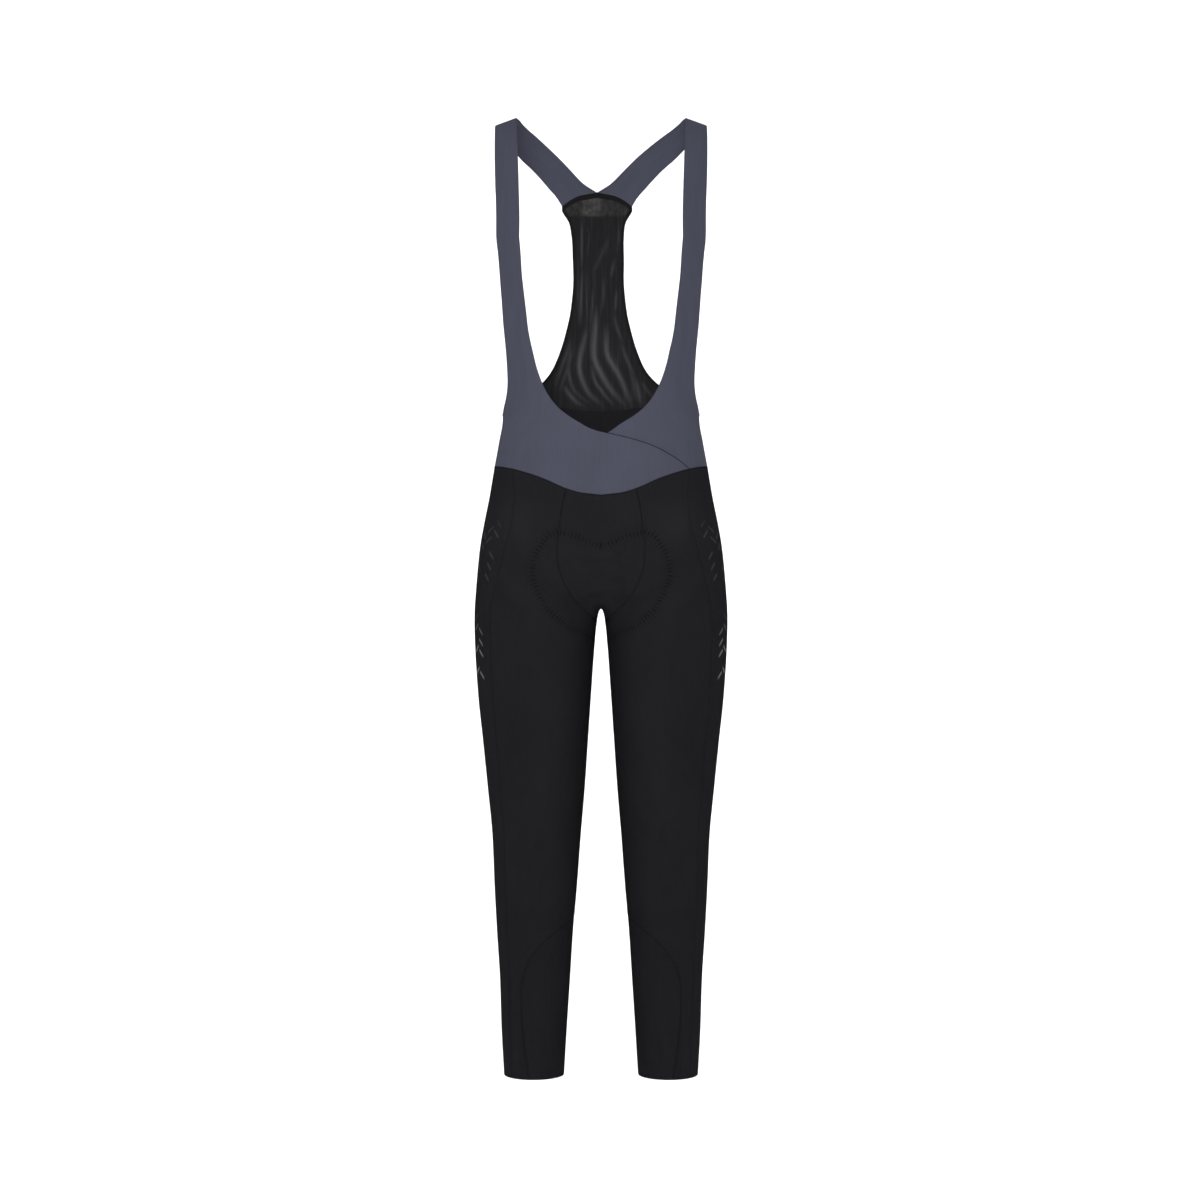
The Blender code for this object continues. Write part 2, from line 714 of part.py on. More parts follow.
def chamois_pad():
    """Makes the pad inside the gusset and the inner thighs, one gap under their walls.

    Its middle columns follow the gusset, and its outer ones run over each leg from
    the gusset's seam to the pad's outline.
    """
    row = evenly(0.0, 1.0, PAD_CELLS)[:, None]
    across = evenly(-1.0, 1.0, 2 * GUSSET_HALF_CELLS)[None, :]
    edge = curve_through(columns(PAD_FRONT_EDGE)["share"], columns(PAD_FRONT_EDGE)["place"])(np.abs(across))
    place = edge + (PAD_BACK_PLACE - edge) * row
    across = across + 0 * row
    middle = gusset_point(across, place)
    middle_normal = gusset_normal(across, place)
    outline = seam(PAD_OUTLINE, PAD_CELLS)
    start = gusset_seam(place[:, -1])
    share = evenly(0.0, 1.0, PAD_SIDE_CELLS)[1:, None]
    chart = start[:, None] + (outline - start)[:, None] * share
    side = form_point(chart)
    side_normal = form_normal(chart)
    mirror = np.array([-1.0, 1.0, 1.0])
    points = np.concatenate([(side * mirror)[:, ::-1], middle, side], axis=1)
    normals = np.concatenate([(side_normal * mirror)[:, ::-1], middle_normal, side_normal], axis=1)
    shell("chamois_pad", points, normals, PAD_WALL, "pad_foam", PAD_DROP)


def backs():
    """Makes the mesh back, its bindings, the yoke band and the two back straps."""
    edge = turned(seam((("place", "angle", "level"), MESH_EDGE[1]), MESH_CELLS))
    left = np.concatenate([edge[::-1], [SIDE_TOP]])
    right = np.stack([360 - left[:, 0], left[:, 1]], axis=-1)
    half = 2 * BACK_HALF_CELLS
    top = yoke_run(MESH_TOP_TURN, -MESH_TOP_TURN, half, YOKE_DROP)
    bottom = joined(back_top(SIDE_TURN, 0.0, BACK_HALF_CELLS),
                    mirrored(back_top(0.0, SIDE_TURN, BACK_HALF_CELLS)))
    chart = patch(top, bottom, left, right)
    shell("back_mesh", form_point(chart), form_normal(chart), MESH_WALL, "black_mesh")

    for word, side in (("left", 1.0), ("right", -1.0)):
        line = form_point(edge, side)
        normal = form_normal(edge, side)
        away = unit(np.cross(normal, np.gradient(line, axis=0))) * side
        line[0] += BINDING_START * (line[1] - line[0])
        ribbon = np.stack([line, line + away * BINDING_WIDTH], axis=1)
        ribbon[-1, 1] = form_point(yoke_run(YOKE_TURN, YOKE_TURN, 1, YOKE_DROP), side)[0]
        shell("mesh_binding_" + word, ribbon, np.stack([normal, normal], axis=1), BAND_WALL, "black_band")

    rows = [yoke_run(YOKE_TURN, -YOKE_TURN, half, YOKE_DROP * share) for share in evenly(0.0, 1.0, YOKE_CELLS)]
    chart = np.stack(rows)
    shell("yoke_band", form_point(chart), form_normal(chart), BAND_WALL, "black_band")

    outer = by_level(BACK_STRAP_OUTER, BACK_STRAP_CELLS)
    inner = by_level(BACK_STRAP_INNER, BACK_STRAP_CELLS)
    top = level_run(outer[0], inner[0], BACK_HALF_CELLS)
    bottom = yoke_run(YOKE_TURN, 0.0, BACK_HALF_CELLS)
    both_sides("back_strap", patch(top, bottom, outer, inner), SLATE_WALL, "slate_knit")


for old in list(bpy.data.objects):
    bpy.data.objects.remove(old, do_unlink=True)
PARTS = bpy.data.collections.new("cycling_bib_tights")
bpy.context.scene.collection.children.link(PARTS)
front_wraps()
legs()
gusset()
chamois_pad()
backs()
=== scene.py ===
# %% [markdown]
# # Cycling bib tights
#
# This lesson dresses a packed CAD model of a pair of full-length cycling bib tights.
# The garment is shown filled out, as when worn, held by its straps.
# Every piece of cloth is a thin shell over one common form, so that the cut pieces
# meet at their seams as they do on the real garment.

import bpy
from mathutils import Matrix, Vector
import numpy as np


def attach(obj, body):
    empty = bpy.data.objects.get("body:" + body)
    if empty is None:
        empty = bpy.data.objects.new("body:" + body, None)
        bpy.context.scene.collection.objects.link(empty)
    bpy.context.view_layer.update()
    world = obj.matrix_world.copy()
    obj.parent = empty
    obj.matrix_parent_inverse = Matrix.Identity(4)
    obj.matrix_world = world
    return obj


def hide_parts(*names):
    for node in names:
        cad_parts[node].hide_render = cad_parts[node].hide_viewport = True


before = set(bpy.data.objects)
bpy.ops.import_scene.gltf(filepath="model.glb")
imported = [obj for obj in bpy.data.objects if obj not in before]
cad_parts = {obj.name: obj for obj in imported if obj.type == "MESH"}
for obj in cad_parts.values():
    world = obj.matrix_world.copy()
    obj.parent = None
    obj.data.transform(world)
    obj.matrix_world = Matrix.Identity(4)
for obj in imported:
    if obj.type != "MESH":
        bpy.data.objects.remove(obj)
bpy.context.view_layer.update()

# %% [markdown]
# ## The worn form
#
# A tailor works on a dress form. Here the form is a short table of sections: for each
# height above the hem, how far a leg's oval reaches outward and inward, and how deep
# it is in front and behind. Above the crotch the two ovals run into one another and
# become the trunk. A cubic that never swings past the table's numbers joins the rows.

# %% Sections of the form
STRAP_TOP = 1.404
CHEST = 1.220
ARCH = 0.250
CREST_MIDDLE = 1.453
CREST_FALL = 0.35
CREST = CHEST + ARCH
TRUNK = 0.847
MIDDLE_REACH = 0.004
MIRROR = np.array([-1.0, 1.0, 1.0])

FORM_COLUMNS = ("height", "outer", "inner", "front", "back", "blend")
FORM = (
    (0.000, 0.1430, 0.0545, 0.042, 0.054, 0.000),
    (0.070, 0.1468, 0.0502, 0.046, 0.062, 0.000),
    (0.140, 0.1490, 0.0457, 0.050, 0.070, 0.000),
    (0.210, 0.1534, 0.0413, 0.055, 0.077, 0.000),
    (0.280, 0.1571, 0.0354, 0.060, 0.081, 0.000),
    (0.350, 0.1600, 0.0302, 0.066, 0.081, 0.000),
    (0.420, 0.1667, 0.0243, 0.073, 0.081, 0.000),
    (0.490, 0.1738, 0.0195, 0.079, 0.085, 0.000),
    (0.560, 0.1812, 0.0148, 0.085, 0.092, 0.000),
    (0.630, 0.1856, 0.0098, 0.091, 0.101, 0.000),
    (0.668, 0.1866, 0.0060, 0.095, 0.107, 0.000),
    (0.688, 0.1862, 0.0000, 0.097, 0.111, 0.000),
    (0.705, 0.1851, -0.016, 0.099, 0.115, 0.004),
    (0.740, 0.1822, -0.060, 0.103, 0.120, 0.030),
    (0.776, 0.1785, -0.110, 0.106, 0.121, 0.026),
    (0.811, 0.1726, -0.150, 0.107, 0.118, 0.010),
    (0.847, 0.1652, -0.1652, 0.107, 0.112, 0.000),
    (0.895, 0.1571, -0.1571, 0.106, 0.102, 0.000),
    (0.931, 0.1505, -0.1505, 0.105, 0.095, 0.000),
    (0.966, 0.1450, -0.1450, 0.105, 0.090, 0.000),
    (1.000, 0.1450, -0.1450, 0.106, 0.086, 0.000),
    (1.050, 0.1490, -0.1490, 0.109, 0.086, 0.000),
    (1.100, 0.1560, -0.1560, 0.113, 0.091, 0.000),
    (1.160, 0.1660, -0.1660, 0.119, 0.102, 0.000),
    (1.220, 0.1760, -0.1760, 0.124, 0.113, 0.000),
)

# How far the sheer back and its straps hang to the wearer's right
SWAY = ("level", "shift"), (
    (0.985, 0.0000),
    (1.050, 0.0034),
    (1.200, 0.0037),
    (1.285, 0.0060),
    (1.340, 0.0050),
    (1.400, 0.0015),
    (1.440, 0.0000),
)


def columns(table):
    """Gives a table's columns by name, as arrays."""
    names, rows = table
    return {name: np.array([row[i] for row in rows], float) for i, name in enumerate(names)}


def curve_through(places, values):
    """Returns a smooth curve through values that never swings past them.

    Between two places it is a cubic. Its slope at a place is the harmonic mean of
    the slopes on both sides, or nothing where they differ in sign.
    """
    places, values = np.asarray(places, float), np.asarray(values, float)
    gaps = np.diff(places)
    rises = np.diff(values) / gaps
    slopes = np.zeros_like(places)
    same = rises[:-1] * rises[1:] > 0
    total = np.where(same, rises[:-1] + rises[1:], 1.0)
    slopes[1:-1] = np.where(same, 2 * rises[:-1] * rises[1:] / total, 0.0)
    slopes[0], slopes[-1] = rises[0], rises[-1]

    def at(place):
        place = np.asarray(place, float)
        i = np.clip(np.searchsorted(places, place) - 1, 0, len(gaps) - 1)
        t = np.clip((place - places[i]) / gaps[i], 0, 1)
        low = values[i] * (1 + 2 * t) * (1 - t) ** 2 + gaps[i] * slopes[i] * t * (1 - t) ** 2
        high = values[i + 1] * t * t * (3 - 2 * t) - gaps[i] * slopes[i + 1] * t * t * (1 - t)
        return low + high

    return at


FORM_TABLE = columns((FORM_COLUMNS, FORM))
SECTION = {name: curve_through(FORM_TABLE["height"], FORM_TABLE[name]) for name in FORM_COLUMNS}
BACK_SWAY = curve_through(*columns(SWAY).values())


def unit(vectors):
    """Scales vectors to length one."""
    return vectors / np.maximum(np.linalg.norm(vectors, axis=-1, keepdims=True), 1e-12)


def section_sides(height):
    """Gives a section's outer and inner distances from the middle plane."""
    outer = SECTION["outer"](height)
    return outer, np.where(height >= TRUNK, -outer, SECTION["inner"](height))


def form_point(chart, side=1.0):
    """Gives points of the worn form from an array of (angle, level).

    x is the oval's middle plus its half width times the sine of the angle, and y is
    its depth times the cosine. Near the middle plane x is pushed outward a little
    before the depth is read, which softens the crease between the two sides. Over
    the chest the depth shrinks with the cosine of the turn over the shoulder, and
    the height grows with its sine.
    """
    chart = np.asarray(chart, float)
    angle, level = np.radians(chart[..., 0]), chart[..., 1]
    height = np.minimum(level, CHEST)
    outer, inner = section_sides(height)
    half, middle = (outer - inner) / 2, (outer + inner) / 2
    x = middle + half * np.sin(angle)
    facing = np.cos(angle)
    depth = np.where(facing > 0, SECTION["front"](height), SECTION["back"](height))
    near = np.clip(1 - (x / np.maximum(middle, 1e-6)) ** 2, 0, 1) ** 2
    soft = np.minimum(SECTION["blend"](height), middle * 0.6)
    push = (np.sqrt(x * x + soft * soft) - np.abs(x)) * near
    across = np.clip((x + push - middle) / half, -1, 1)
    bow = np.where(near > 0, np.sqrt(1 - across * across), np.abs(facing))
    turn = np.pi / 2 * np.clip((level - CHEST) / ARCH, 0, 1)
    y = -np.sign(facing) * depth * bow * np.cos(turn)
    z = height + (CREST_MIDDLE - CREST_FALL * np.abs(x) - CHEST) * np.sin(turn)
    sway = BACK_SWAY(level) * np.clip(-2 * facing, 0, 1)
    return np.stack([side * x - sway, y, z - STRAP_TOP], axis=-1)


def form_normal(chart, side=1.0):
    """Gives the form's outward direction, from small steps in angle and level.

    It leans to neither side in the middle plane, so that two pieces that meet there
    stay together.
    """
    chart = np.asarray(chart, float)
    da, dl = np.array([0.05, 0.0]), np.array([0.0, 0.0002])
    along_angle = form_point(chart + da, side) - form_point(chart - da, side)
    along_level = form_point(chart + dl, side) - form_point(chart - dl, side)
    out = unit(np.cross(along_angle, along_level) * side)
    out[..., 0] *= np.clip(np.abs(form_point(chart)[..., 0]) / MIDDLE_REACH, 0, 1)
    return unit(out)


def angle_at(x, level, back=False):
    """Gives the angle at which a level's oval has the wanted distance from the middle."""
    outer, inner = section_sides(level)
    share = np.clip((x - (outer + inner) / 2) / ((outer - inner) / 2), -1, 1)
    angle = np.degrees(np.arcsin(share))
    return 180 - angle if back else angle


print("hip breadth:", round(float(2 * SECTION["outer"](0.668)), 3))

# %% [markdown]
# ## Seams and edges
#
# Each seam is a line on the form, given by an angle and a level. The angle is counted
# from the front middle out to the side and round to the back middle at 180 degrees.
# Several tables count from the back middle instead, as a tailor would. Seams could also
# be drawn as curves in space, but then two panels would only nearly meet. Here both
# panels read the same table. The place numbers tell how far along the seam each row
# lies, so that the same place on two seams marks the two ends of one row of cloth.

# %% Shared corners and counts of cells
# Each coarse cell between two rows of cloth is cut into this many fine ones
FINE = 4
SIDE_TOP = (92.0, 0.966)
SIDE_TURN = 180.0 - SIDE_TOP[0]
GUSSET_ANGLE, PANEL_ANGLE = 17.8, 54.0
STRAP_CELLS, SIDE_SEAM_CELLS = 15, 7
GUSSET_FRONT_CELLS, GUSSET_BACK_CELLS = 10, 9
SEAT_SEAM_CELLS, INNER_LEG_CELLS = 7, 14
CALF_TOP_CELLS, CALF_SIDE_CELLS = 6, 5
GUSSET_HALF_CELLS, FRONT_LEG_CELLS, SIDE_PANEL_CELLS, BACK_HALF_CELLS = 4, 8, 3, 8
YOKE_CELLS, BACK_STRAP_CELLS, MESH_CELLS = 2, 10, 12
GUSSET_CELLS = GUSSET_FRONT_CELLS + GUSSET_BACK_CELLS
LEG_CELLS = GUSSET_FRONT_CELLS + INNER_LEG_CELLS + CALF_TOP_CELLS + CALF_SIDE_CELLS
print("leg rows:", LEG_CELLS * FINE)

# %% [markdown]
# ## Drawing on the form
#
# A piece of cloth is a grid of (angle, level) between four seams. It is filled the way
# a surveyor fills a map: the straight filling across, plus the straight filling down,
# less the filling of the corners, which both counted. A plain rectangle that is bent
# into place would stretch unevenly. This filling keeps all four edges exactly on their
# seams.

# %% Sampling seams and filling patches
def evenly(first, last, cells):
    """Gives evenly spaced numbers for that many coarse cells, each cut finely."""
    return np.linspace(first, last, cells * FINE + 1)


def seam(table, cells):
    """Samples a seam given by place, angle and level."""
    data = columns(table)
    places = evenly(0, cells, cells)
    angle, level = [curve_through(data["place"], data[name])(places) for name in ("angle", "level")]
    return np.stack([angle, level], axis=-1)


def turned(chart):
    """Changes degrees from the back middle into degrees from the front middle."""
    return np.stack([180 - chart[..., 0], chart[..., 1]], axis=-1)


def other_side(chart):
    """Changes angles on the left half of the trunk into those on the right half."""
    return np.stack([360 - chart[..., 0], chart[..., 1]], axis=-1)


def joined(*runs):
    """Joins runs of points, each beginning where the one before ends."""
    return np.concatenate([runs[0]] + [run[1:] for run in runs[1:]])


def straight(first, last, cells):
    """Samples a straight run on the chart."""
    return np.stack([evenly(first[0], last[0], cells), evenly(first[1], last[1], cells)], axis=-1)


def turn_run(table, first, last, cells, drop=0.0):
    """Samples a line given by its turn from the back middle."""
    turns, data = evenly(first, last, cells), columns(table)
    level = curve_through(data["turn"], data["level"])(np.abs(turns)) - drop
    return turned(np.stack([turns, level], axis=-1))


def by_level(table, cells):
    """Samples an edge given by turn and level at even steps of the level."""
    data = columns(table)
    levels = evenly(data["level"][0], data["level"][-1], cells)
    turns = curve_through(data["level"][::-1], data["turn"][::-1])(levels)
    return turned(np.stack([turns, levels], axis=-1))


def patch(top, bottom, left, right):
    """Fills four edges: both straight fillings, less that of the corners."""
    u = np.linspace(0, 1, len(top))[None, :, None]
    v = np.linspace(0, 1, len(left))[:, None, None]
    across = (1 - u) * left[:, None] + u * right[:, None]
    down = (1 - v) * top[None] + v * bottom[None]
    corners = (1 - v) * ((1 - u) * top[0] + u * top[-1]) + v * ((1 - u) * bottom[0] + u * bottom[-1])
    return across + down - corners


def smooth(t):
    """Eases from 0 to 1."""
    t = np.clip(t, 0, 1)
    return t * t * (3 - 2 * t)


print("fine cells along a strap:", STRAP_CELLS * FINE)

# %% [markdown]
# ## The waist seam
#
# The slate front is sewn to the black legs along one curved seam, lowest at the front
# middle. Seven pieces end on it, so they all read it through one small function.

# %% Waist seam
WAIST_SEAM = ("angle", "level"), (
    (0.0, 0.8488),
    (10.0, 0.8520),
    (17.8, 0.8583),
    (31.0, 0.8730),
    (43.0, 0.8825),
    (54.0, 0.8885),
    (70.0, 0.8930),
    (92.0, 0.8955),
)


def waist_level(angle):
    """Gives the level of the seam between the front and the legs."""
    data = columns(WAIST_SEAM)
    return curve_through(data["angle"], data["level"])(np.abs(angle))


def waist_run(first, last, cells):
    """Samples the waist seam between two angles."""
    angles = evenly(first, last, cells)
    return np.stack([angles, waist_level(angles)], axis=-1)


print("waist seam:", [round(float(waist_level(a)), 3) for a in (0, PANEL_ANGLE, SIDE_TOP[0])])

# %% [markdown]
# ## The gusset's surface
#
# The gusset is the middle panel, from the waist down through the crotch to the seat.
# Between the legs it leaves the ovals of the form and spans the gap like a saddle. It
# could be a plain strip between the two leg seams, but that would crease hard along
# both. A cubic across it that starts and ends along the legs' own surface joins them
# smoothly.

# %% Gusset surface
GUSSET_SEAM_FRONT = ("place", "x", "level"), (
    (0, 0.0500, 0.8583),
    (1, 0.0556, 0.8340),
    (2, 0.0592, 0.8080),
    (3, 0.0628, 0.7800),
    (4, 0.0622, 0.7540),
    (5, 0.0552, 0.7290),
    (6, 0.0440, 0.7070),
    (7, 0.0310, 0.6910),
    (8, 0.0190, 0.6800),
    (9, 0.0100, 0.6725),
    (10, 0.0060, 0.6680),
)
GUSSET_SEAM_BACK = ("place", "x", "level"), (
    (0, 0.0060, 0.6680),
    (1, 0.0100, 0.6725),
    (2, 0.0190, 0.6800),
    (3, 0.0290, 0.6900),
    (4, 0.0350, 0.7030),
    (5, 0.0370, 0.7170),
    (6, 0.0350, 0.7310),
    (7, 0.0300, 0.7440),
    (8, 0.0230, 0.7560),
    (9, 0.0150, 0.7660),
)
GUSSET_BOW = ("place", "pull"), (
    (0, 1.05),
    (4, 1.10),
    (6, 1.25),
    (7, 1.45),
    (8, 2.00),
    (9, 3.40),
    (10, 6.00),
    (11, 3.40),
    (12, 2.00),
    (13, 1.50),
    (15, 1.20),
    (19, 1.05),
)
GUSSET_STEP, GUSSET_FRONT_FADE, GUSSET_BACK_FADE = 0.02, 4.0, 3.0


def seam_by_x(table, cells, back):
    """Samples a gusset seam given by place, distance from the middle and level."""
    data = columns(table)
    places = evenly(0, cells, cells)
    x, level = [curve_through(data["place"], data[name])(places) for name in ("x", "level")]
    return np.stack([angle_at(x, level, back), level], axis=-1)


def gusset_seam(place):
    """Gives the gusset's seam on the left leg at any place, its angle never jumping."""
    runs = []
    halves = (GUSSET_SEAM_FRONT, 0, False), (GUSSET_SEAM_BACK, GUSSET_FRONT_CELLS, True)
    for table, cells, back in halves:
        data = columns(table)
        x = curve_through(data["place"] + cells, data["x"])(place)
        level = curve_through(data["place"] + cells, data["level"])(place)
        runs.append(np.stack([angle_at(x, level, back) - (360.0 if back else 0.0), level], axis=-1))
    return np.where((place <= GUSSET_FRONT_CELLS)[..., None], runs[0], runs[1])


def gusset_point(across, place):
    """Gives points of the gusset; across runs from -1 at the right seam to 1 at the left.

    At each place a cubic spans from seam to seam and leaves both along the leg's
    surface, with a pull given in widths. At both ends it passes into the form.
    """
    chart = gusset_seam(place)
    left = form_point(chart)
    before = form_point(gusset_seam(np.maximum(place - GUSSET_STEP, 0.0)))
    after = form_point(gusset_seam(np.minimum(place + GUSSET_STEP, GUSSET_CELLS)))
    inward = unit(np.cross(after - before, form_normal(chart)))
    right = left * MIRROR
    pull = curve_through(columns(GUSSET_BOW)["place"], columns(GUSSET_BOW)["pull"])(place)
    reach = (pull * np.linalg.norm(left - right, axis=-1))[..., None]
    t = ((across + 1) / 2)[..., None]
    spanned = (right * (1 + 2 * t) * (1 - t) ** 2 + left * t * t * (3 - 2 * t)
               + reach * inward * MIRROR * t * (1 - t) ** 2 + reach * inward * t * t * (1 - t))
    level, x = chart[..., 1], np.abs(across) * left[..., 0]
    dip = waist_level(angle_at(x, level)) - waist_level(chart[..., 0])
    fade = np.clip(1 - place / GUSSET_FRONT_FADE, 0, 1)
    end_fade = np.clip((place - GUSSET_CELLS + GUSSET_BACK_FADE) / GUSSET_BACK_FADE, 0, 1)
    level = level + dip * fade
    angle = np.where(place > GUSSET_FRONT_CELLS, angle_at(x, level, True), angle_at(x, level))
    on_form = form_point(np.stack([angle, level], axis=-1))
    on_form[..., 0] *= np.where(across < 0, -1.0, 1.0)
    return spanned + (on_form - spanned) * smooth(np.maximum(fade, end_fade))[..., None]


def gusset_normal(across, place):
    """Gives the gusset's outward direction, from small steps across and along."""
    step = 0.01
    low, high = np.maximum(across - step, -1.0), np.minimum(across + step, 1.0)
    fore, aft = np.maximum(place - step, 0.0), np.minimum(place + step, GUSSET_CELLS)
    along = gusset_point(across, aft) - gusset_point(across, fore)
    return unit(np.cross(along, gusset_point(high, place) - gusset_point(low, place)))


print("crotch height:", min(row[2] for row in GUSSET_SEAM_FRONT[1]))

# %% [markdown]
# ## Creases
#
# Stretch cloth lies smooth where it is tight. It creases softly where it has spare
# length: the crotch pulls a few lines out over the thighs, and the hollows of the knees
# and the ankles fold a little. A cloth simulation could find them, but on cloth this
# tight it would find almost none, and not the same ones each time. So each crease is a
# bent line through three points in space, with its own width and
# height. A ridge is positive, a trough negative.

# %% Creases
CREASES = ("x1", "y1", "z1", "x2", "y2", "z2", "x3", "y3", "z3", "width", "height"), (
    # front body
    (0.003, -0.106, -0.480, 0.004, -0.106, -0.495, 0.003, -0.107, -0.512, 0.0018, -0.0004),
    # crotch and upper thighs
    (-0.030, -0.085, -0.700, -0.060, -0.100, -0.690, -0.100, -0.098, -0.662, 0.0080, 0.0010),
    (-0.026, -0.075, -0.722, -0.055, -0.094, -0.722, -0.095, -0.096, -0.705, 0.0070, 0.0009),
    (0.030, -0.085, -0.702, 0.064, -0.100, -0.688, 0.106, -0.096, -0.664, 0.0080, 0.0009),
    (0.026, -0.075, -0.724, 0.058, -0.094, -0.726, 0.092, -0.096, -0.712, 0.0070, 0.0010),
    # under the seat
    (-0.040, 0.100, -0.690, -0.085, 0.118, -0.700, -0.130, 0.105, -0.690, 0.0090, -0.0012),
    (0.040, 0.100, -0.692, 0.088, 0.118, -0.704, 0.132, 0.104, -0.688, 0.0090, -0.0012),
    (-0.045, 0.092, -0.722, -0.080, 0.112, -0.733, -0.118, 0.106, -0.730, 0.0080, 0.0010),
    (0.045, 0.092, -0.720, 0.082, 0.112, -0.736, 0.122, 0.105, -0.728, 0.0080, 0.0010),
    # hollows of the knees
    (-0.060, 0.072, -1.010, -0.095, 0.082, -1.020, -0.135, 0.068, -1.008, 0.0070, -0.0014),
    (-0.062, 0.072, -1.036, -0.098, 0.082, -1.042, -0.132, 0.070, -1.040, 0.0060, 0.0012),
    (-0.066, 0.074, -1.062, -0.092, 0.081, -1.066, -0.122, 0.074, -1.060, 0.0060, -0.0010),
    (0.060, 0.072, -1.014, 0.096, 0.082, -1.022, 0.134, 0.068, -1.014, 0.0070, -0.0013),
    (0.064, 0.073, -1.040, 0.097, 0.082, -1.046, 0.130, 0.070, -1.038, 0.0060, 0.0012),
    # shins and ankles
    (-0.090, -0.050, -1.205, -0.100, -0.052, -1.222, -0.115, -0.050, -1.245, 0.0035, 0.0006),
    (-0.078, -0.046, -1.322, -0.100, -0.046, -1.330, -0.122, -0.040, -1.326, 0.0060, 0.0005),
    (0.078, -0.046, -1.330, 0.102, -0.046, -1.338, 0.122, -0.040, -1.334, 0.0060, 0.0005),
    (-0.070, 0.052, -1.345, -0.098, 0.058, -1.352, -0.124, 0.050, -1.346, 0.0070, -0.0009),
    (0.070, 0.052, -1.348, 0.098, 0.058, -1.356, 0.124, 0.050, -1.350, 0.0070, -0.0009),
)


def bent_line(points, knots):
    """Gives the distance to a bent line, and the share of the way along it."""
    best, way = np.full(points.shape[:-1], 1e9), np.zeros(points.shape[:-1])
    for part, (start, end) in enumerate(zip(knots[:-1], knots[1:])):
        run = end - start
        t = np.clip(((points - start) @ run) / (run @ run), 0, 1)
        distance = np.linalg.norm(points - start - t[..., None] * run, axis=-1)
        closer = distance < best
        best = np.where(closer, distance, best)
        way = np.where(closer, (part + t) / (len(knots) - 1), way)
    return best, way


def bell(distance, width, way):
    """Falls off with the distance, and fades toward both ends."""
    return np.sin(np.pi * np.clip(way, 0.02, 0.98)) ** 0.7 * np.exp(-(distance / width) ** 2)


def crease_relief(points):
    """Gives the height of all creases at each point: the sum of their bells."""
    data = columns(CREASES)
    relief = np.zeros(points.shape[:-1])
    for i in range(len(data["width"])):
        knots = [np.array([data[axis + str(k)][i] for axis in "xyz"]) for k in (1, 2, 3)]
        distance, way = bent_line(points, knots)
        relief += data["height"][i] * bell(distance, data["width"][i], way)
    return relief


print("creases:", len(CREASES[1]))

# %% [markdown]
# ## Pulls of the sheer back
#
# The sheer back bunches above its lower seam, and long soft pulls run up from there.
# They are much closer together than the creases of the legs. Each is a smooth line
# through four points, drawn as seen from the front, with its own width, height and
# brightness. The brightness opens the net's holes and is painted on as sheen.

# %% Pulls
PULLS = ("x1", "z1", "x2", "z2", "x3", "z3", "x4", "z4", "width", "height", "light"), (
    (-0.007, -0.262, -0.011, -0.330, 0.010, -0.379, 0.038, -0.412, 0.0046, 0.0024, 1.00),
    (-0.021, -0.290, -0.033, -0.351, -0.022, -0.387, 0.004, -0.412, 0.0040, 0.0020, 0.90),
    (0.007, -0.288, 0.008, -0.326, 0.029, -0.368, 0.046, -0.411, 0.0042, 0.0022, 0.90),
    (-0.057, -0.380, -0.046, -0.396, -0.036, -0.406, -0.024, -0.412, 0.0036, 0.0016, 0.62),
    (0.051, -0.366, 0.055, -0.384, 0.058, -0.398, 0.060, -0.411, 0.0036, 0.0015, 0.60),
    (-0.014, -0.345, -0.011, -0.368, 0.003, -0.391, 0.021, -0.412, 0.0028, 0.0010, 0.62),
    (0.020, -0.335, 0.026, -0.358, 0.034, -0.381, 0.043, -0.404, 0.0026, 0.0008, 0.50),
    (-0.042, -0.318, -0.050, -0.350, -0.044, -0.382, -0.014, -0.411, 0.0030, 0.0010, 0.46),
    (-0.070, -0.386, -0.063, -0.362, -0.055, -0.340, -0.044, -0.308, 0.0030, 0.0010, 0.42),
    (-0.063, -0.392, -0.056, -0.370, -0.049, -0.348, -0.040, -0.322, 0.0024, 0.0008, 0.40),
    (0.030, -0.312, 0.037, -0.335, 0.045, -0.355, 0.053, -0.374, 0.0030, 0.0010, 0.46),
    (0.042, -0.352, 0.048, -0.372, 0.051, -0.390, 0.052, -0.406, 0.0024, 0.0008, 0.40),
    (0.060, -0.374, 0.068, -0.386, 0.074, -0.394, 0.078, -0.402, 0.0026, 0.0007, 0.30),
    (-0.030, -0.128, -0.0296, -0.152, -0.0296, -0.174, -0.030, -0.198, 0.0019, 0.0005, 0.50),
    (-0.028, -0.200, -0.030, -0.231, -0.031, -0.258, -0.032, -0.290, 0.0022, 0.0006, 0.50),
    (-0.021, -0.206, -0.022, -0.240, -0.021, -0.265, -0.023, -0.300, 0.0017, 0.0004, 0.30),
    (-0.013, -0.232, -0.013, -0.252, -0.014, -0.269, -0.016, -0.292, 0.0022, 0.0005, 0.34),
    (0.012, -0.152, 0.004, -0.170, -0.004, -0.188, -0.012, -0.206, 0.0030, 0.0005, 0.26),
    (0.022, -0.184, 0.019, -0.194, 0.017, -0.203, 0.0145, -0.214, 0.0026, 0.0005, 0.34),
    (0.024, -0.232, 0.023, -0.244, 0.022, -0.256, 0.020, -0.268, 0.0026, 0.0005, 0.34),
    (0.019, -0.268, 0.023, -0.288, 0.028, -0.302, 0.035, -0.318, 0.0028, 0.0006, 0.36),
    (0.002, -0.212, 0.003, -0.236, 0.001, -0.258, -0.002, -0.276, 0.0024, 0.0004, 0.24),
    (-0.020, -0.134, -0.018, -0.150, -0.019, -0.166, -0.021, -0.184, 0.0016, 0.0003, 0.22),
    (0.027, -0.132, 0.027, -0.148, 0.025, -0.166, 0.024, -0.180, 0.0020, 0.0004, 0.24),
)
PULL_KNOTS = 13


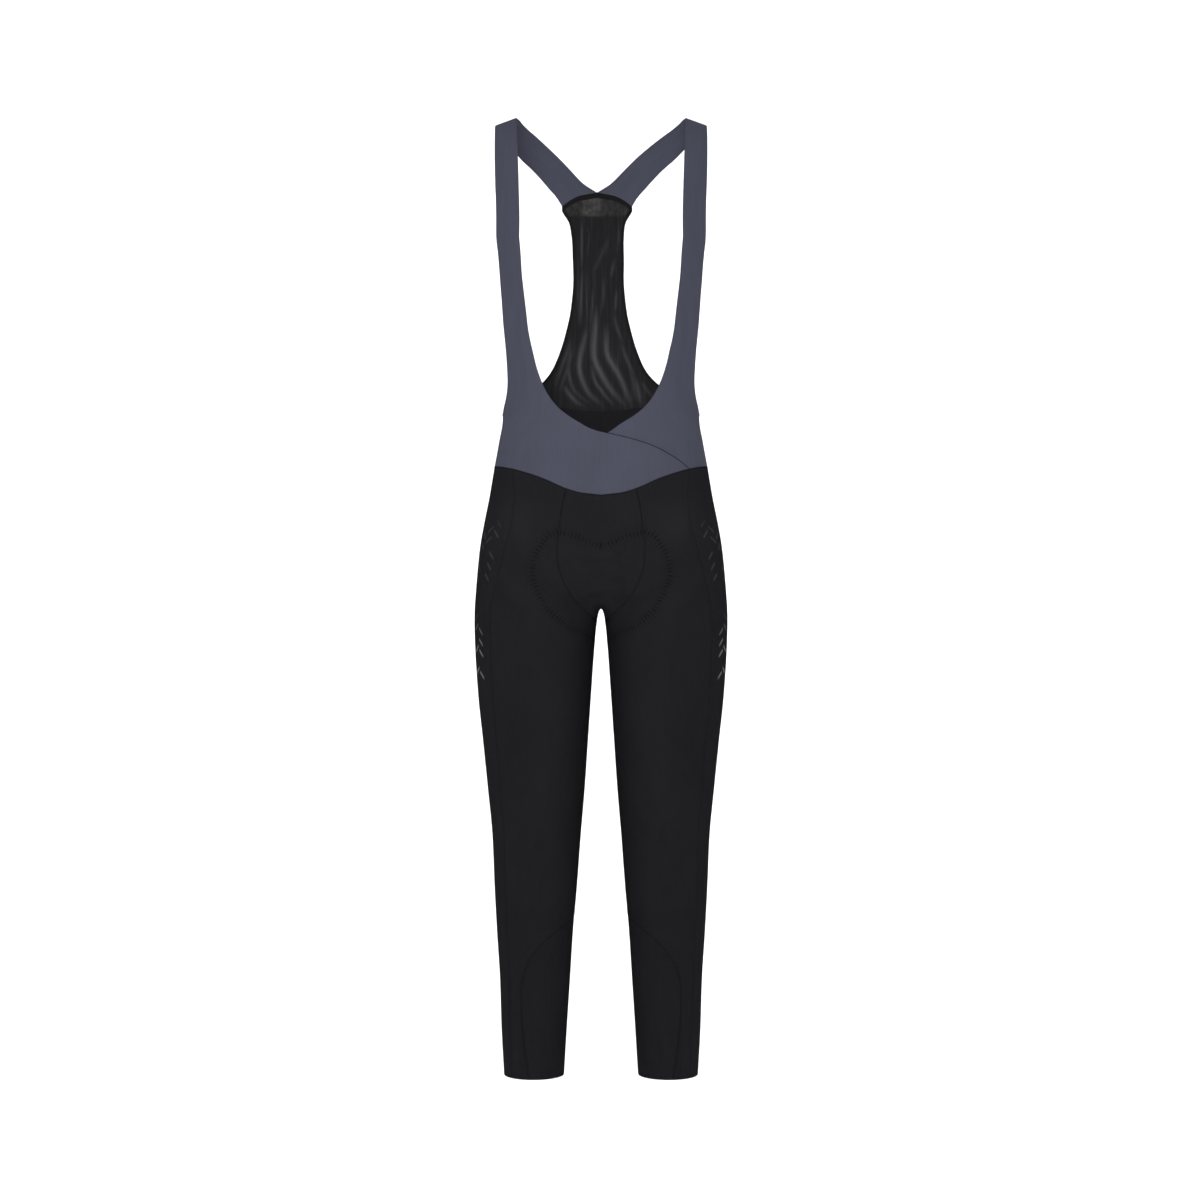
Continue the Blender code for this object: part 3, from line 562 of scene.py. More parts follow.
def pulls(points):
    """Gives the height of the sheer back's pulls at each point, and their brightness, which opens the net
    and is a painted sheen.
    """
    data = columns(PULLS)
    flat = points[..., [0, 2]]
    height, light = np.zeros(flat.shape[:-1]), np.zeros(flat.shape[:-1])
    for i in range(len(data["width"])):
        x, z = [np.array([data[axis + str(k)][i] for k in (1, 2, 3, 4)]) for axis in "xz"]
        turn = np.sign(z[-1] - z[0])
        heights = np.linspace(z[0], z[-1], PULL_KNOTS)
        knots = np.stack([curve_through(turn * z, x)(turn * heights), heights], axis=-1)
        distance, way = bent_line(flat, knots)
        near = bell(distance, data["width"][i], way)
        height += data["height"][i] * near
        light = np.maximum(light, data["light"][i] * near)
    return height, light


print("pulls:", len(PULLS[1]))

# %% [markdown]
# ## Cloth from a grid
#
# Every piece of cloth becomes a closed shell: its outer grid, the same grid one wall
# deeper, and a rim. A Solidify modifier could give the wall, but the rim and the two
# faces are needed here with their own stored values. Extra lines beside the edges give
# the dip at a seam its round shape. Each corner keeps its distances in metres across
# and along the cloth, which the materials use to draw the knit at its true size.

# %% Shells and distances
RIM_STEPS = (0.12, 0.30, 0.60)


def denser(grid, times=1):
    """Cuts every cell, and adds lines beside the four edges, by mixing neighbours."""
    for axis in (0, 1):
        count = grid.shape[axis] - 1
        places = [np.linspace(0, count, count * times + 1), RIM_STEPS, count - np.array(RIM_STEPS)]
        places = np.unique(np.round(np.concatenate(places), 6))
        low = np.minimum(places.astype(int), count - 1)
        share = (places - low).reshape((-1, 1, 1) if axis == 0 else (1, -1, 1))
        grid = np.take(grid, low, axis) * (1 - share) + np.take(grid, low + 1, axis) * share
    return grid


def arcs(points, axis):
    """Adds up the distances along a grid's rows or columns."""
    steps = np.linalg.norm(np.diff(points, axis=axis), axis=-1)
    return np.cumsum(np.insert(steps, 0, 0.0, axis=axis), axis=axis)


def shell_mesh(name, outer, inner, layers):
    """Closes two grids into one mesh, and stores named values on its corners."""
    rows, cols = outer.shape[:2]
    count = rows * cols
    index = np.arange(count).reshape(rows, cols)
    quads = np.stack([index[:-1, :-1], index[1:, :-1], index[1:, 1:], index[:-1, 1:]], axis=-1)
    quads = quads.reshape(-1, 4)
    ring = np.concatenate([index[:, 0], index[-1, 1:], index[:-1, -1][::-1], index[0, 1:-1][::-1]])
    after = np.roll(ring, -1)
    rim = np.stack([after, ring, ring + count, after + count], axis=-1)
    faces = np.concatenate([quads, quads[:, ::-1] + count, rim])
    row, col = rows // 2, cols // 2
    corner = outer[row - 1, col - 1]
    facing = np.cross(outer[row, col - 1] - corner, outer[row - 1, col] - corner)
    if np.dot(facing, outer[row, col] - inner[row, col]) < 0:
        faces = faces[:, ::-1]
    mesh = bpy.data.meshes.new(name)
    points = np.concatenate([outer.reshape(-1, 3), inner.reshape(-1, 3)])
    mesh.from_pydata(points.tolist(), [], faces.tolist())
    mesh.shade_smooth()
    uv = mesh.uv_layers.new(name="metres")
    corners = np.tile(np.stack([layers["across"], layers["along"]], axis=-1).reshape(-1, 2), (2, 1))
    uv.data.foreach_set("uv", corners[faces.reshape(-1)].astype(np.float32).reshape(-1))
    # The seam share, used later for painted shade, is kept on the outer face only; the share of painted
    # light is kept on both faces
    for layer, inside in (("seam", 0.0), ("fold", 1.0)):
        made = mesh.attributes.new(layer, "FLOAT", "POINT")
        values = layers[layer].reshape(-1)
        made.data.foreach_set("value", np.concatenate([values, values * inside]).astype(np.float32))
    return mesh


print("grid lines beside an edge:", len(RIM_STEPS))

# %% [markdown]
# ## A piece of cloth
#
# Two panels meet exactly at their seam, and both dip a little just beside it, as cloth
# does where the needle pulls it down. The garment's front is painted lighter over the
# hips and just above the crotch, a painted light, so each point also keeps its share
# of painted light.

# %% Cloth, dips and painted light
SEAM_DIP, SEAM_REACH = 0.0005, 0.0011
PIECES, MEASURES = {}, {}
FRONT_FADE = 0.03
# x, z, reach and share of each spot of painted light
PAINTED_LIGHT_SPOTS = (
    (0.000, -0.709, 0.024, 1.00),
    (-0.121, -0.592, 0.034, 0.26),
    (0.105, -0.592, 0.034, 0.34),
)


def painted_light_at(points):
    """Says where the garment's front gets painted light: a sum of bells."""
    x, y, z = points[..., 0], points[..., 1], points[..., 2]
    bells = [share * np.exp(-((x - at_x) ** 2 + (z - at_z) ** 2) / reach ** 2)
             for at_x, at_z, reach, share in PAINTED_LIGHT_SPOTS]
    return sum(bells) * np.clip(1 - y / FRONT_FADE, 0, 1)


def cloth(name, points, normals, wall, drop=0.0, rise=0.0, dips=(1, 1, 1, 1), fold=None):
    """Makes a piece of cloth from points on the form.

    outer = point + normal * (crease height + rise - drop - dip), and the dip is a
    bell of the distance to an edge: depth * exp(-(distance / reach)^2). dips are for
    the left, right, top and bottom edges of the grid. The last argument is the share of
    painted light at each point: the pulls' brightness, or else the front's painted light.
    """
    across, along = arcs(points, 1), arcs(points, 0)
    edges = (across, across[:, -1:] - across, along, along[-1:] - along)
    bells = [share * np.exp(-(distance / SEAM_REACH) ** 2) for share, distance in zip(dips, edges)]
    seam_near = np.max(bells, axis=0)
    height = crease_relief(points) + rise - drop - SEAM_DIP * seam_near
    outer = points + normals * height[..., None]
    fold = painted_light_at(points) if fold is None else fold
    layers = {"across": across, "along": along, "seam": seam_near, "fold": fold}
    made = bpy.data.objects.new(name, shell_mesh(name, outer, outer - normals * wall, layers))
    bpy.context.scene.collection.objects.link(made)
    diagonal = np.cross(outer[1:, 1:] - outer[:-1, :-1], outer[:-1, 1:] - outer[1:, :-1])
    area = float(np.linalg.norm(diagonal, axis=-1).sum() / 2)
    width, length = float(across[:, -1].max()), float(along[-1].max())
    MEASURES[name] = {"width": width, "length": length, "area": area}
    PIECES[name] = made
    return made


def on_form(name, chart, wall, side=1.0, **more):
    """Makes a piece of cloth from a grid of (angle, level)."""
    chart = denser(chart)
    return cloth(name, form_point(chart, side), form_normal(chart, side), wall, **more)


def both_sides(name, chart, wall, **more):
    """Makes a piece for the left side and its mirror image for the right."""
    on_form(name + "_left", chart, wall, 1.0, **more)
    on_form(name + "_right", chart, wall, -1.0, **more)


CLOTH_WALL, MESH_WALL, BAND_WALL, PAD_WALL = 0.0010, 0.0002, 0.0015, 0.0028
print("walls in mm:", [round(1000 * wall, 2) for wall in (CLOTH_WALL, MESH_WALL, BAND_WALL, PAD_WALL)])

# %% [markdown]
# ## The right front
#
# Each front is one piece with its shoulder strap. It runs from the shoulder seam to the
# waist seam, between the armhole with the side seam and the neck edge, which crosses
# the middle. Strap and body could be two pieces, but the real ones are cut in one, and
# so is this. The right front is the upper layer.

# %% Upper front
ARMHOLE_END = (86.0, 0.974)
ARMHOLE_FRONT = ("place", "angle", "level"), (
    (0, 62.5, CREST),
    (1, 62.3, 1.425),
    (2, 62.2, 1.382),
    (3, 61.8, 1.338),
    (4, 61.0, 1.297),
    (5, 59.9, 1.256),
    (6, 59.8, 1.216),
    (8, 62.6, 1.150),
    (10, 66.3, 1.095),
    (12, 68.4, 1.041),
    (13, 70.0, 1.016),
    (14, 74.5, 0.993),
    (15, *ARMHOLE_END),
)
SIDE_SEAM = ("place", "angle", "level"), (
    (0, 92.0, 0.9660),
    (7, 92.0, 0.8955),
)
NECK_EDGE = ("place", "angle", "level"), (
    (0, 45.0, CREST),
    (1, 44.4, 1.420),
    (2, 43.9, 1.372),
    (3, 43.2, 1.325),
    (4, 42.4, 1.280),
    (5, 41.9, 1.240),
    (6, 42.3, 1.200),
    (7, 43.2, 1.160),
    (9, 43.2, 1.096),
    (11, 40.4, 1.046),
    (12, 38.0, 1.024),
    (13, 34.2, 1.003),
    (14, 28.8, 0.984),
    (15, 21.8, 0.968),
    (16, 12.4, 0.953),
    (17, 3.5, 0.9420),
    (18, -8.0, 0.9350),
    (19, -22.0, 0.9262),
    (20, -32.0, 0.9175),
    (21, -40.0, 0.9082),
    (22, -47.5, 0.8985),
    (23, -54.0, 0.8885),
)
NECK_CELLS = STRAP_CELLS + 1 + SIDE_SEAM_CELLS
armhole = joined(seam(ARMHOLE_FRONT, STRAP_CELLS), straight(ARMHOLE_END, SIDE_TOP, 1),
                 seam(SIDE_SEAM, SIDE_SEAM_CELLS))
neck = seam(NECK_EDGE, NECK_CELLS)
bottom = joined(waist_run(SIDE_TOP[0], PANEL_ANGLE, SIDE_PANEL_CELLS),
                waist_run(PANEL_ANGLE, GUSSET_ANGLE, FRONT_LEG_CELLS),
                waist_run(GUSSET_ANGLE, -GUSSET_ANGLE, 2 * GUSSET_HALF_CELLS),
                waist_run(-GUSSET_ANGLE, -PANEL_ANGLE, FRONT_LEG_CELLS))
top = np.linspace(armhole[0], neck[0], len(bottom))
front = patch(top, bottom, armhole, neck)
on_form("cloth_front_wrap_right", front, CLOTH_WALL, side=-1.0, dips=(0.7, 0.7, 1, 1))
print("front:", {key: round(value, 3) for key, value in MEASURES["cloth_front_wrap_right"].items()})

# %% [markdown]
# ## The left front
#
# The left front is the mirror image, under the right one. It sinks by a little more
# than the thickness of a cloth wherever it is below the other's edge, and comes up
# again over a short ramp, so that the edge on top lies flat and the two never cut
# through one another.

# %% Under front
LAP_DROP, LAP_RAMP = 0.0015, 0.012
LAP_START, LAP_SIDE, LAP_SIDE_FADE = 15, 74.0, 16.0
CROSSING_PLACE, NECK_UNDER = 16.0, 0.0045
place = evenly(0, NECK_CELLS, NECK_CELLS)
past = smooth((place - CROSSING_PLACE) / 1.2) * smooth((NECK_CELLS - place) / 3.0)
chart = denser(patch(top, bottom, armhole, neck - np.stack([0 * past, NECK_UNDER * past], axis=-1)))
lap = columns(NECK_EDGE)
edge = curve_through(-lap["angle"][LAP_START:], lap["level"][LAP_START:])(chart[..., 0])
under = smooth((edge + LAP_RAMP - chart[..., 1]) / (LAP_RAMP * 0.8))
under = under * np.clip((LAP_SIDE - chart[..., 0]) / LAP_SIDE_FADE, 0, 1)
cloth("cloth_front_wrap_left", form_point(chart), form_normal(chart), CLOTH_WALL,
      drop=LAP_DROP * under, dips=(0.7, 0.7, 1, 1))
print("cloths of the front:", len(PIECES))

# %% [markdown]
# ## Front of the leg and side panel
#
# Each leg has a front panel and, on its outer side, a narrower panel that carries the
# print. A tube for the whole leg would be simpler, but the seams show, and a print
# follows its own panel. The rows of all leg panels are cut at the same places along
# their shared seams.

# %% Leg fronts and side panels
PANEL_FRONT_SEAM = ("place", "angle", "level"), (
    (0, 54.0, 0.8885),
    (2, 49.0, 0.8480),
    (5, 46.0, 0.7780),
    (10, 45.0, 0.6900),
    (24, 45.0, 0.2620),
    (30, 45.0, 0.1650),
    (35, 45.0, 0.0000),
)
PANEL_BACK_SEAM = ("place", "angle", "level"), (
    (0, 92.0, 0.8955),
    (2, 95.0, 0.8550),
    (5, 100.0, 0.7840),
    (10, 104.0, 0.6920),
    (24, 105.0, 0.2620),
    (30, 105.0, 0.1650),
    (35, 105.0, 0.0000),
)
CALF_SEAM = ("place", "angle", "level"), (
    (0, -90.0, 0.2360),
    (1, -72.0, 0.2325),
    (2, -55.0, 0.2270),
    (3, -38.0, 0.2180),
    (4, -21.0, 0.2070),
    (5, -6.0, 0.1930),
    (6, 6.5, 0.1760),
    (7, 16.5, 0.1560),
    (8, 21.5, 0.1300),
    (9, 21.5, 0.1000),
    (10, 16.0, 0.0520),
    (11, 8.0, 0.0000),
)
gusset_front = seam_by_x(GUSSET_SEAM_FRONT, GUSSET_FRONT_CELLS, False)
gusset_back = seam_by_x(GUSSET_SEAM_BACK, GUSSET_BACK_CELLS, True)
calf = seam(CALF_SEAM, CALF_TOP_CELLS + CALF_SIDE_CELLS)
inner_leg = straight(gusset_front[-1], calf[0], INNER_LEG_CELLS)
front_inner = joined(gusset_front, inner_leg, calf)
panel_front = seam(PANEL_FRONT_SEAM, LEG_CELLS)
panel_back = seam(PANEL_BACK_SEAM, LEG_CELLS)
hem = straight(calf[-1], panel_front[-1], FRONT_LEG_CELLS)
waist = waist_run(GUSSET_ANGLE, PANEL_ANGLE, FRONT_LEG_CELLS)
both_sides("cloth_front_leg", patch(waist, hem, front_inner, panel_front), CLOTH_WALL,
           dips=(0.7, 0.15, 1, 0.5))
hem = straight(panel_front[-1], panel_back[-1], SIDE_PANEL_CELLS)
waist = waist_run(PANEL_ANGLE, SIDE_TOP[0], SIDE_PANEL_CELLS)
both_sides("cloth_side_panel", patch(waist, hem, panel_front, panel_back), CLOTH_WALL,
           dips=(0.15, 0.15, 1, 0.5))
print("leg length:", round(MEASURES["cloth_front_leg_left"]["length"], 3), "m")

# %% [markdown]
# ## Back of the leg
#
# The back of the leg is the largest piece. It goes up over the seat to the sheer panel,
# and the two backs meet in a seam down the middle of the seat. Its inner edge follows
# that seam, the gusset, the inner leg and the calf panel in one run.

# %% Leg backs
SEAT_TOP = 0.985
BACK_TOP_SEAM = ("turn", "level"), (
    (0.0, 0.9850),
    (12.0, 0.9862),
    (25.0, 0.9895),
    (50.0, 0.9850),
    (70.0, 0.9745),
    (88.0, 0.9660),
)
seat_levels = evenly(SEAT_TOP, gusset_back[-1, 1], SEAT_SEAM_CELLS)
seat = np.stack([angle_at(0.0, seat_levels, True), seat_levels], axis=-1)
turn_in = np.linspace(seat[-1], gusset_back[-1], FINE + 1)
back_inner = joined(seat, turn_in, gusset_back[::-1], turned(inner_leg), turned(calf))
hem = straight(back_inner[-1], panel_back[-1], BACK_HALF_CELLS)
side_back = joined(seam(SIDE_SEAM, SIDE_SEAM_CELLS), panel_back)
back_top = turn_run(BACK_TOP_SEAM, 0.0, SIDE_TURN, BACK_HALF_CELLS)
both_sides("cloth_back_leg", patch(back_top, hem, back_inner, side_back), CLOTH_WALL,
           dips=(1, 1, 1, 0.5))
print("seat seam:", round(float(seat_levels[0] - seat_levels[-1]), 3), "m")

# %% [markdown]
# ## Calf panel
#
# A rounded panel closes the inner side of the lower leg. It is shared by front and
# back, so its outline is the front's seam and that seam's mirror image round the back.

# %% Calf panels
around = np.stack([-180 - calf[:, 0], calf[:, 1]], axis=-1)
calf_top = joined(calf[:CALF_TOP_CELLS * FINE + 1][::-1], around[:CALF_TOP_CELLS * FINE + 1])
front_side, back_side = calf[CALF_TOP_CELLS * FINE:], around[CALF_TOP_CELLS * FINE:]
hem = straight(front_side[-1], back_side[-1], 2 * CALF_TOP_CELLS)
both_sides("cloth_calf_panel", patch(calf_top, hem, front_side, back_side), CLOTH_WALL,
           dips=(0.5, 0.5, 0.3, 0.5))
print("leg pieces:", sum("leg" in name or "panel" in name for name in PIECES))

# %% [markdown]
# ## Gusset
#
# The gusset's surface was worked out above. Here it becomes cloth, with cells enough
# across to look round between the legs.

# %% Gusset
gusset_width = evenly(-1.0, 1.0, 2 * GUSSET_HALF_CELLS)
gusset_length = evenly(0, GUSSET_CELLS, GUSSET_CELLS)
grid = denser(np.stack(np.meshgrid(gusset_width, gusset_length), axis=-1))
across, place = grid[..., 0], grid[..., 1]
cloth("cloth_front_gusset", gusset_point(across, place), gusset_normal(across, place), CLOTH_WALL,
      dips=(0.7, 0.7, 1, 1))
print("gusset:", {key: round(value, 3) for key, value in MEASURES["cloth_front_gusset"].items()})

# %% [markdown]
# ## Pad
#
# The pad lies inside the gusset and the inner thighs. It is brushed cloth over foam,
# thick enough to be a body of its own. It could be a flat cut-out pressed to the form,
# but its edge would then float. It is drawn in three parts that share their seams: the
# gusset's own surface in the middle, and a strip of each leg's form beside it.

# %% Pad
PAD_FRONT_EDGE = ("share", "place"), (
    (0.0, 3.30),
    (0.25, 2.96),
    (0.5, 2.58),
    (1.0, 2.42),
)
PAD_OUTLINE = ("place", "angle", "level"), (
    (0, 17.0, 0.7970),
    (1, 20.5, 0.7850),
    (2, 21.5, 0.7650),
    (3, 18.0, 0.7400),
    (4, 8.0, 0.7160),
    (5, -3.0, 0.6970),
    (6, -16.0, 0.6790),
    (7, -35.0, 0.6600),
    (8, -62.0, 0.6460),
    (9, -90.0, 0.6400),
    (10, -118.0, 0.6460),
    (11, -145.0, 0.6600),
    (12, -164.0, 0.6790),
    (13, -177.0, 0.6970),
    (14, -187.0, 0.7160),
    (15, -193.0, 0.7350),
    (16, -195.0, 0.7500),
    (17, -194.0, 0.7620),
    (18, -190.0, 0.7730),
)
PAD_BACK_PLACE = 18.6
PAD_CELLS, PAD_SIDE_CELLS = 18, 4
PAD_DROP = 0.0056
row = evenly(0.0, 1.0, PAD_CELLS)[:, None]
across = gusset_width[None, :] + 0 * row
pad_edge = columns(PAD_FRONT_EDGE)
front_edge = curve_through(pad_edge["share"], pad_edge["place"])(np.abs(across))
place = front_edge + (PAD_BACK_PLACE - front_edge) * row
outline = seam(PAD_OUTLINE, PAD_CELLS)
start = gusset_seam(place[:, -1])
share = evenly(0.0, 1.0, PAD_SIDE_CELLS)[1:, None]
chart = start[:, None] + (outline - start)[:, None] * share
points = [(form_point(chart) * MIRROR)[:, ::-1], gusset_point(across, place), form_point(chart)]
normals = [(form_normal(chart) * MIRROR)[:, ::-1], gusset_normal(across, place), form_normal(chart)]
points, normals = np.concatenate(points, axis=1), np.concatenate(normals, axis=1)
cloth("chamois_pad_foam", points, normals, PAD_WALL, drop=PAD_DROP)
print("pad:", {key: round(value, 3) for key, value in MEASURES["chamois_pad_foam"].items()})

# %% [markdown]
# ## Sheer panel
#
# A sheer panel fills the back between two bound edges. It is cut three times as finely
# as the other pieces, so that the pulls show as relief. The panel's top reaches a
# little way under the band, so that no light shows between them.

# %% Sheer panel
MESH_EDGE = ("place", "turn", "level"), (
    (0, 88.0, 0.9700),
    (1, 78.0, 0.9790),
    (2, 66.0, 0.9885),
    (3, 50.0, 1.0030),
    (4, 36.6, 1.0200),
    (5, 27.4, 1.0420),
    (6, 21.2, 1.0720),
    (7, 16.8, 1.1050),
    (8, 13.6, 1.1400),
    (9, 11.6, 1.1900),
    (10, 11.5, 1.2300),
    (11, 12.4, 1.2560),
    (12, 16.3, 1.2752),
)
YOKE_TOP = ("turn", "level"), (
    (0.0, 1.2900),
    (8.0, 1.2893),
    (13.0, 1.2857),
    (17.7, 1.2790),
)
YOKE_DROP = 0.0058
MESH_SIDE_LEVEL = 0.970
MESH_TOP_TURN, YOKE_TURN = 16.3, 17.7
MESH_UNDER_BAND, UNDER_REACH, UNDER_FADE = 0.0015, 0.012, 9.0
mesh_edge = turned(seam((("place", "angle", "level"), MESH_EDGE[1]), MESH_CELLS))
mesh_side = joined(mesh_edge[::-1], straight((SIDE_TOP[0], MESH_SIDE_LEVEL), SIDE_TOP, 1))
yoke_foot = turn_run(YOKE_TOP, MESH_TOP_TURN, -MESH_TOP_TURN, 2 * BACK_HALF_CELLS, YOKE_DROP)
mesh_foot = joined(back_top[::-1], other_side(back_top))
sheer = patch(yoke_foot, mesh_foot, mesh_side, other_side(mesh_side))
sheer = denser(sheer, 3)
under = MESH_UNDER_BAND * np.clip(1 - (sheer[:1, :, 1] - sheer[..., 1]) / UNDER_REACH, 0, 1)
under = under * np.clip(UNDER_FADE * (1 - np.abs(np.linspace(-1, 1, sheer.shape[1]))), 0, 1)
sheer = np.stack([sheer[..., 0], sheer[..., 1] + under], axis=-1)
points = form_point(sheer)
# light is the pulls' brightness: it opens the net's holes, and it is a painted sheen
height, light = pulls(points)
cloth("cloth_back_mesh", points, form_normal(sheer), MESH_WALL, rise=height, fold=light)
print("sheer panel:", {key: round(value, 3) for key, value in MEASURES["cloth_back_mesh"].items()})

# %% [markdown]
# ## Bindings and band
#
# A folded tape binds each free edge of the mesh, and a wider one closes its top. A tape
# could be a curve with a flat section, which would twist at the corners. Here it is a
# ribbon beside the edge, domed across by 1 - (2t - 1)^4, and it ends under the band.

# %% Bindings and band
BINDING_WIDTH, BINDING_BULGE, BINDING_ROWS = 0.0042, 0.0007, YOKE_CELLS * FINE
for word, side in (("left", 1.0), ("right", -1.0)):
    line, normal = form_point(mesh_edge, side), form_normal(mesh_edge, side)
    away = unit(np.cross(normal, np.gradient(line, axis=0))) * side
    t = np.linspace(0, 1, BINDING_ROWS + 1)[None, :, None]
    round_top = BINDING_BULGE * (1 - (2 * t - 1) ** 4)
    ribbon = line[:, None] + away[:, None] * BINDING_WIDTH * t + normal[:, None] * round_top
    foot = form_point(turn_run(YOKE_TOP, MESH_TOP_TURN, YOKE_TURN, YOKE_CELLS, YOKE_DROP), side)
    end_share = smooth((np.arange(len(line)) / FINE - MESH_CELLS + 1))[:, None, None]
    ribbon = ribbon + (foot - ribbon[-1] + normal[-1] * round_top[0]) * end_share
    normals = np.repeat(normal[:, None], BINDING_ROWS + 1, 1)
    cloth("mesh_binding_tape_" + word, ribbon, normals, BAND_WALL, dips=(0, 0, 0, 0))

shares = np.linspace(0.0, 1.0, BINDING_ROWS + 1)
yoke = np.stack([turn_run(YOKE_TOP, YOKE_TURN, -YOKE_TURN, 2 * BACK_HALF_CELLS, YOKE_DROP * share)
                 for share in shares])
points, normals = form_point(yoke), form_normal(yoke)
bulge = (BINDING_BULGE * (1 - (2 * shares - 1) ** 4))[:, None, None]
cloth("yoke_band_tape", points + normals * bulge, normals, BAND_WALL, dips=(0, 0, 0, 0))
print("tapes:", sum("tape" in name for name in PIECES))

# %% [markdown]
# ## Back straps
#
# Two straps go from the band over the shoulders and end at the shoulder seams of the
# fronts. Both edges are read at even steps of the level, because near the shoulder they
# run almost level.

# %% Back straps
BACK_STRAP_INNER = ("turn", "level"), (
    (45.0, CREST),
    (41.5, 1.430),
    (37.6, 1.4065),
    (33.5, 1.3895),
    (29.6, 1.3750),
    (25.9, 1.3620),
    (19.0, 1.3395),
    (12.9, 1.3200),
    (6.9, 1.3026),
    (0.0, 1.2900),
)
BACK_STRAP_OUTER = ("turn", "level"), (
    (62.5, CREST),
    (59.0, 1.430),
    (54.0, 1.4015),
    (47.5, 1.3732),
    (41.3, 1.3505),
    (35.0, 1.3332),
    (29.0, 1.3157),
    (24.5, 1.3018),
    (20.5, 1.2902),
    (17.7, 1.2790),
)
outer_edge = by_level(BACK_STRAP_OUTER, BACK_STRAP_CELLS)
inner_edge = by_level(BACK_STRAP_INNER, BACK_STRAP_CELLS)
strap_foot = turn_run(YOKE_TOP, YOKE_TURN, 0.0, BACK_HALF_CELLS)
strap_top = np.linspace(outer_edge[0], inner_edge[0], len(strap_foot))
both_sides("cloth_back_strap", patch(strap_top, strap_foot, outer_edge, inner_edge), CLOTH_WALL,
           dips=(0.7, 0.7, 1, 1))
print("pieces of cloth:", len(PIECES))

# %% [markdown]
# ## Threads
#
# The seams are sewn flat. Outside, a thread crosses the seam to and fro, which holds
# both edges down and doesn't rub. Threads could be drawn in the material, but then they
# would have no edge in low light. Each crossing is a short tube of thread that rises a
# little in its middle and sinks into the cloth at both ends. All crossings of a seam
# are worked out at once and make one piece.

# %% Threads
THREAD_SIDES, THREAD_STATIONS = 4, 5
THREAD_RADIUS, THREAD_LIFT, FINE_THREAD = 0.00017, 0.00020, 0.00011


def threads(name, starts, ends, normals, radius=THREAD_RADIUS, lift=THREAD_LIFT):
    """Makes one mesh of thread tubes, each from a start to an end.

    centre(t) = start + (end - start) t + normal * lift * (4 t (1 - t) - 0.3)
    ring(a) = centre + radius * (cos a * normal + sin a * sideways)
    """
    t = np.linspace(0, 1, THREAD_STATIONS)[None, :, None]
    hump = lift * (4 * t * (1 - t) - 0.3)
    centre = starts[:, None] + (ends - starts)[:, None] * t + normals[:, None] * hump
    sideways = unit(np.cross(ends - starts, normals))[:, None, None]
    angle = np.arange(THREAD_SIDES) * 2 * np.pi / THREAD_SIDES
    cosine, sine = np.cos(angle)[None, None, :, None], np.sin(angle)[None, None, :, None]
    rings = centre[:, :, None] + radius * (cosine * normals[:, None, None] + sine * sideways)
    count = len(starts)
    index = np.arange(count * THREAD_STATIONS * THREAD_SIDES)
    index = index.reshape(count, THREAD_STATIONS, THREAD_SIDES)
    after = np.roll(index, -1, axis=2)
    faces = np.stack([index[:, :-1], index[:, 1:], after[:, 1:], after[:, :-1]], axis=-1)
    mesh = bpy.data.meshes.new(name)
    mesh.from_pydata(rings.reshape(-1, 3).tolist(), [], faces.reshape(-1, 4).tolist())
    mesh.shade_smooth()
    made = bpy.data.objects.new(name, mesh)
    bpy.context.scene.collection.objects.link(made)
    return made


def along_line(points, normals, step):
    """Gives even steps along a line, with the line's own and its outward direction."""
    length = np.concatenate([[0.0], np.cumsum(np.linalg.norm(np.diff(points, axis=0), axis=1))])
    places = np.linspace(0, length[-1], max(int(length[-1] / step), 2) + 1)
    even = np.stack([np.interp(places, length, points[:, i]) for i in range(3)], axis=-1)
    outward = unit(np.stack([np.interp(places, length, normals[:, i]) for i in range(3)], axis=-1))
    return even, unit(np.gradient(even, axis=0)), outward


print("thread thickness:", round(2000 * THREAD_RADIUS, 2), "mm")

# %% [markdown]
# ## Sewing the seams
#
# Each long seam is sewn once, and its threads go with one of the two pieces that meet
# there. The turned edge of the upper front isn't sewn down. It stands on the lower one
# as a fine cord.

# %% Seams
STITCHES = {}
STITCH_STEP, STITCH_REACH, YOKE_THREAD_RISE = 0.0026, 0.0013, 0.0004
CORD_START, CORD_STEP, CORD_RADIUS = 16.4, 0.004, 0.00042


def flat_seam(name, cloth_name, points, normals, rise=0.0, radius=THREAD_RADIUS):
    """Sews a seam: threads run to and fro across it from one step to the next."""
    line, along, outward = along_line(points, normals, STITCH_STEP)
    line = line + outward * (crease_relief(line) + rise)[:, None]
    across = unit(np.cross(outward, along))
    way = np.where(np.arange(len(line)) % 2 == 0, 1.0, -1.0)[:, None]
    ends = line + across * STITCH_REACH * way
    made = threads(name, ends[:-1], ends[1:], outward[:-1], radius)
    STITCHES.setdefault(cloth_name, []).append(made)


def chart_seam(name, cloth_name, chart, side=1.0, **more):
    """Sews a seam that is given on the chart."""
    flat_seam(name, cloth_name, form_point(chart, side), form_normal(chart, side), **more)


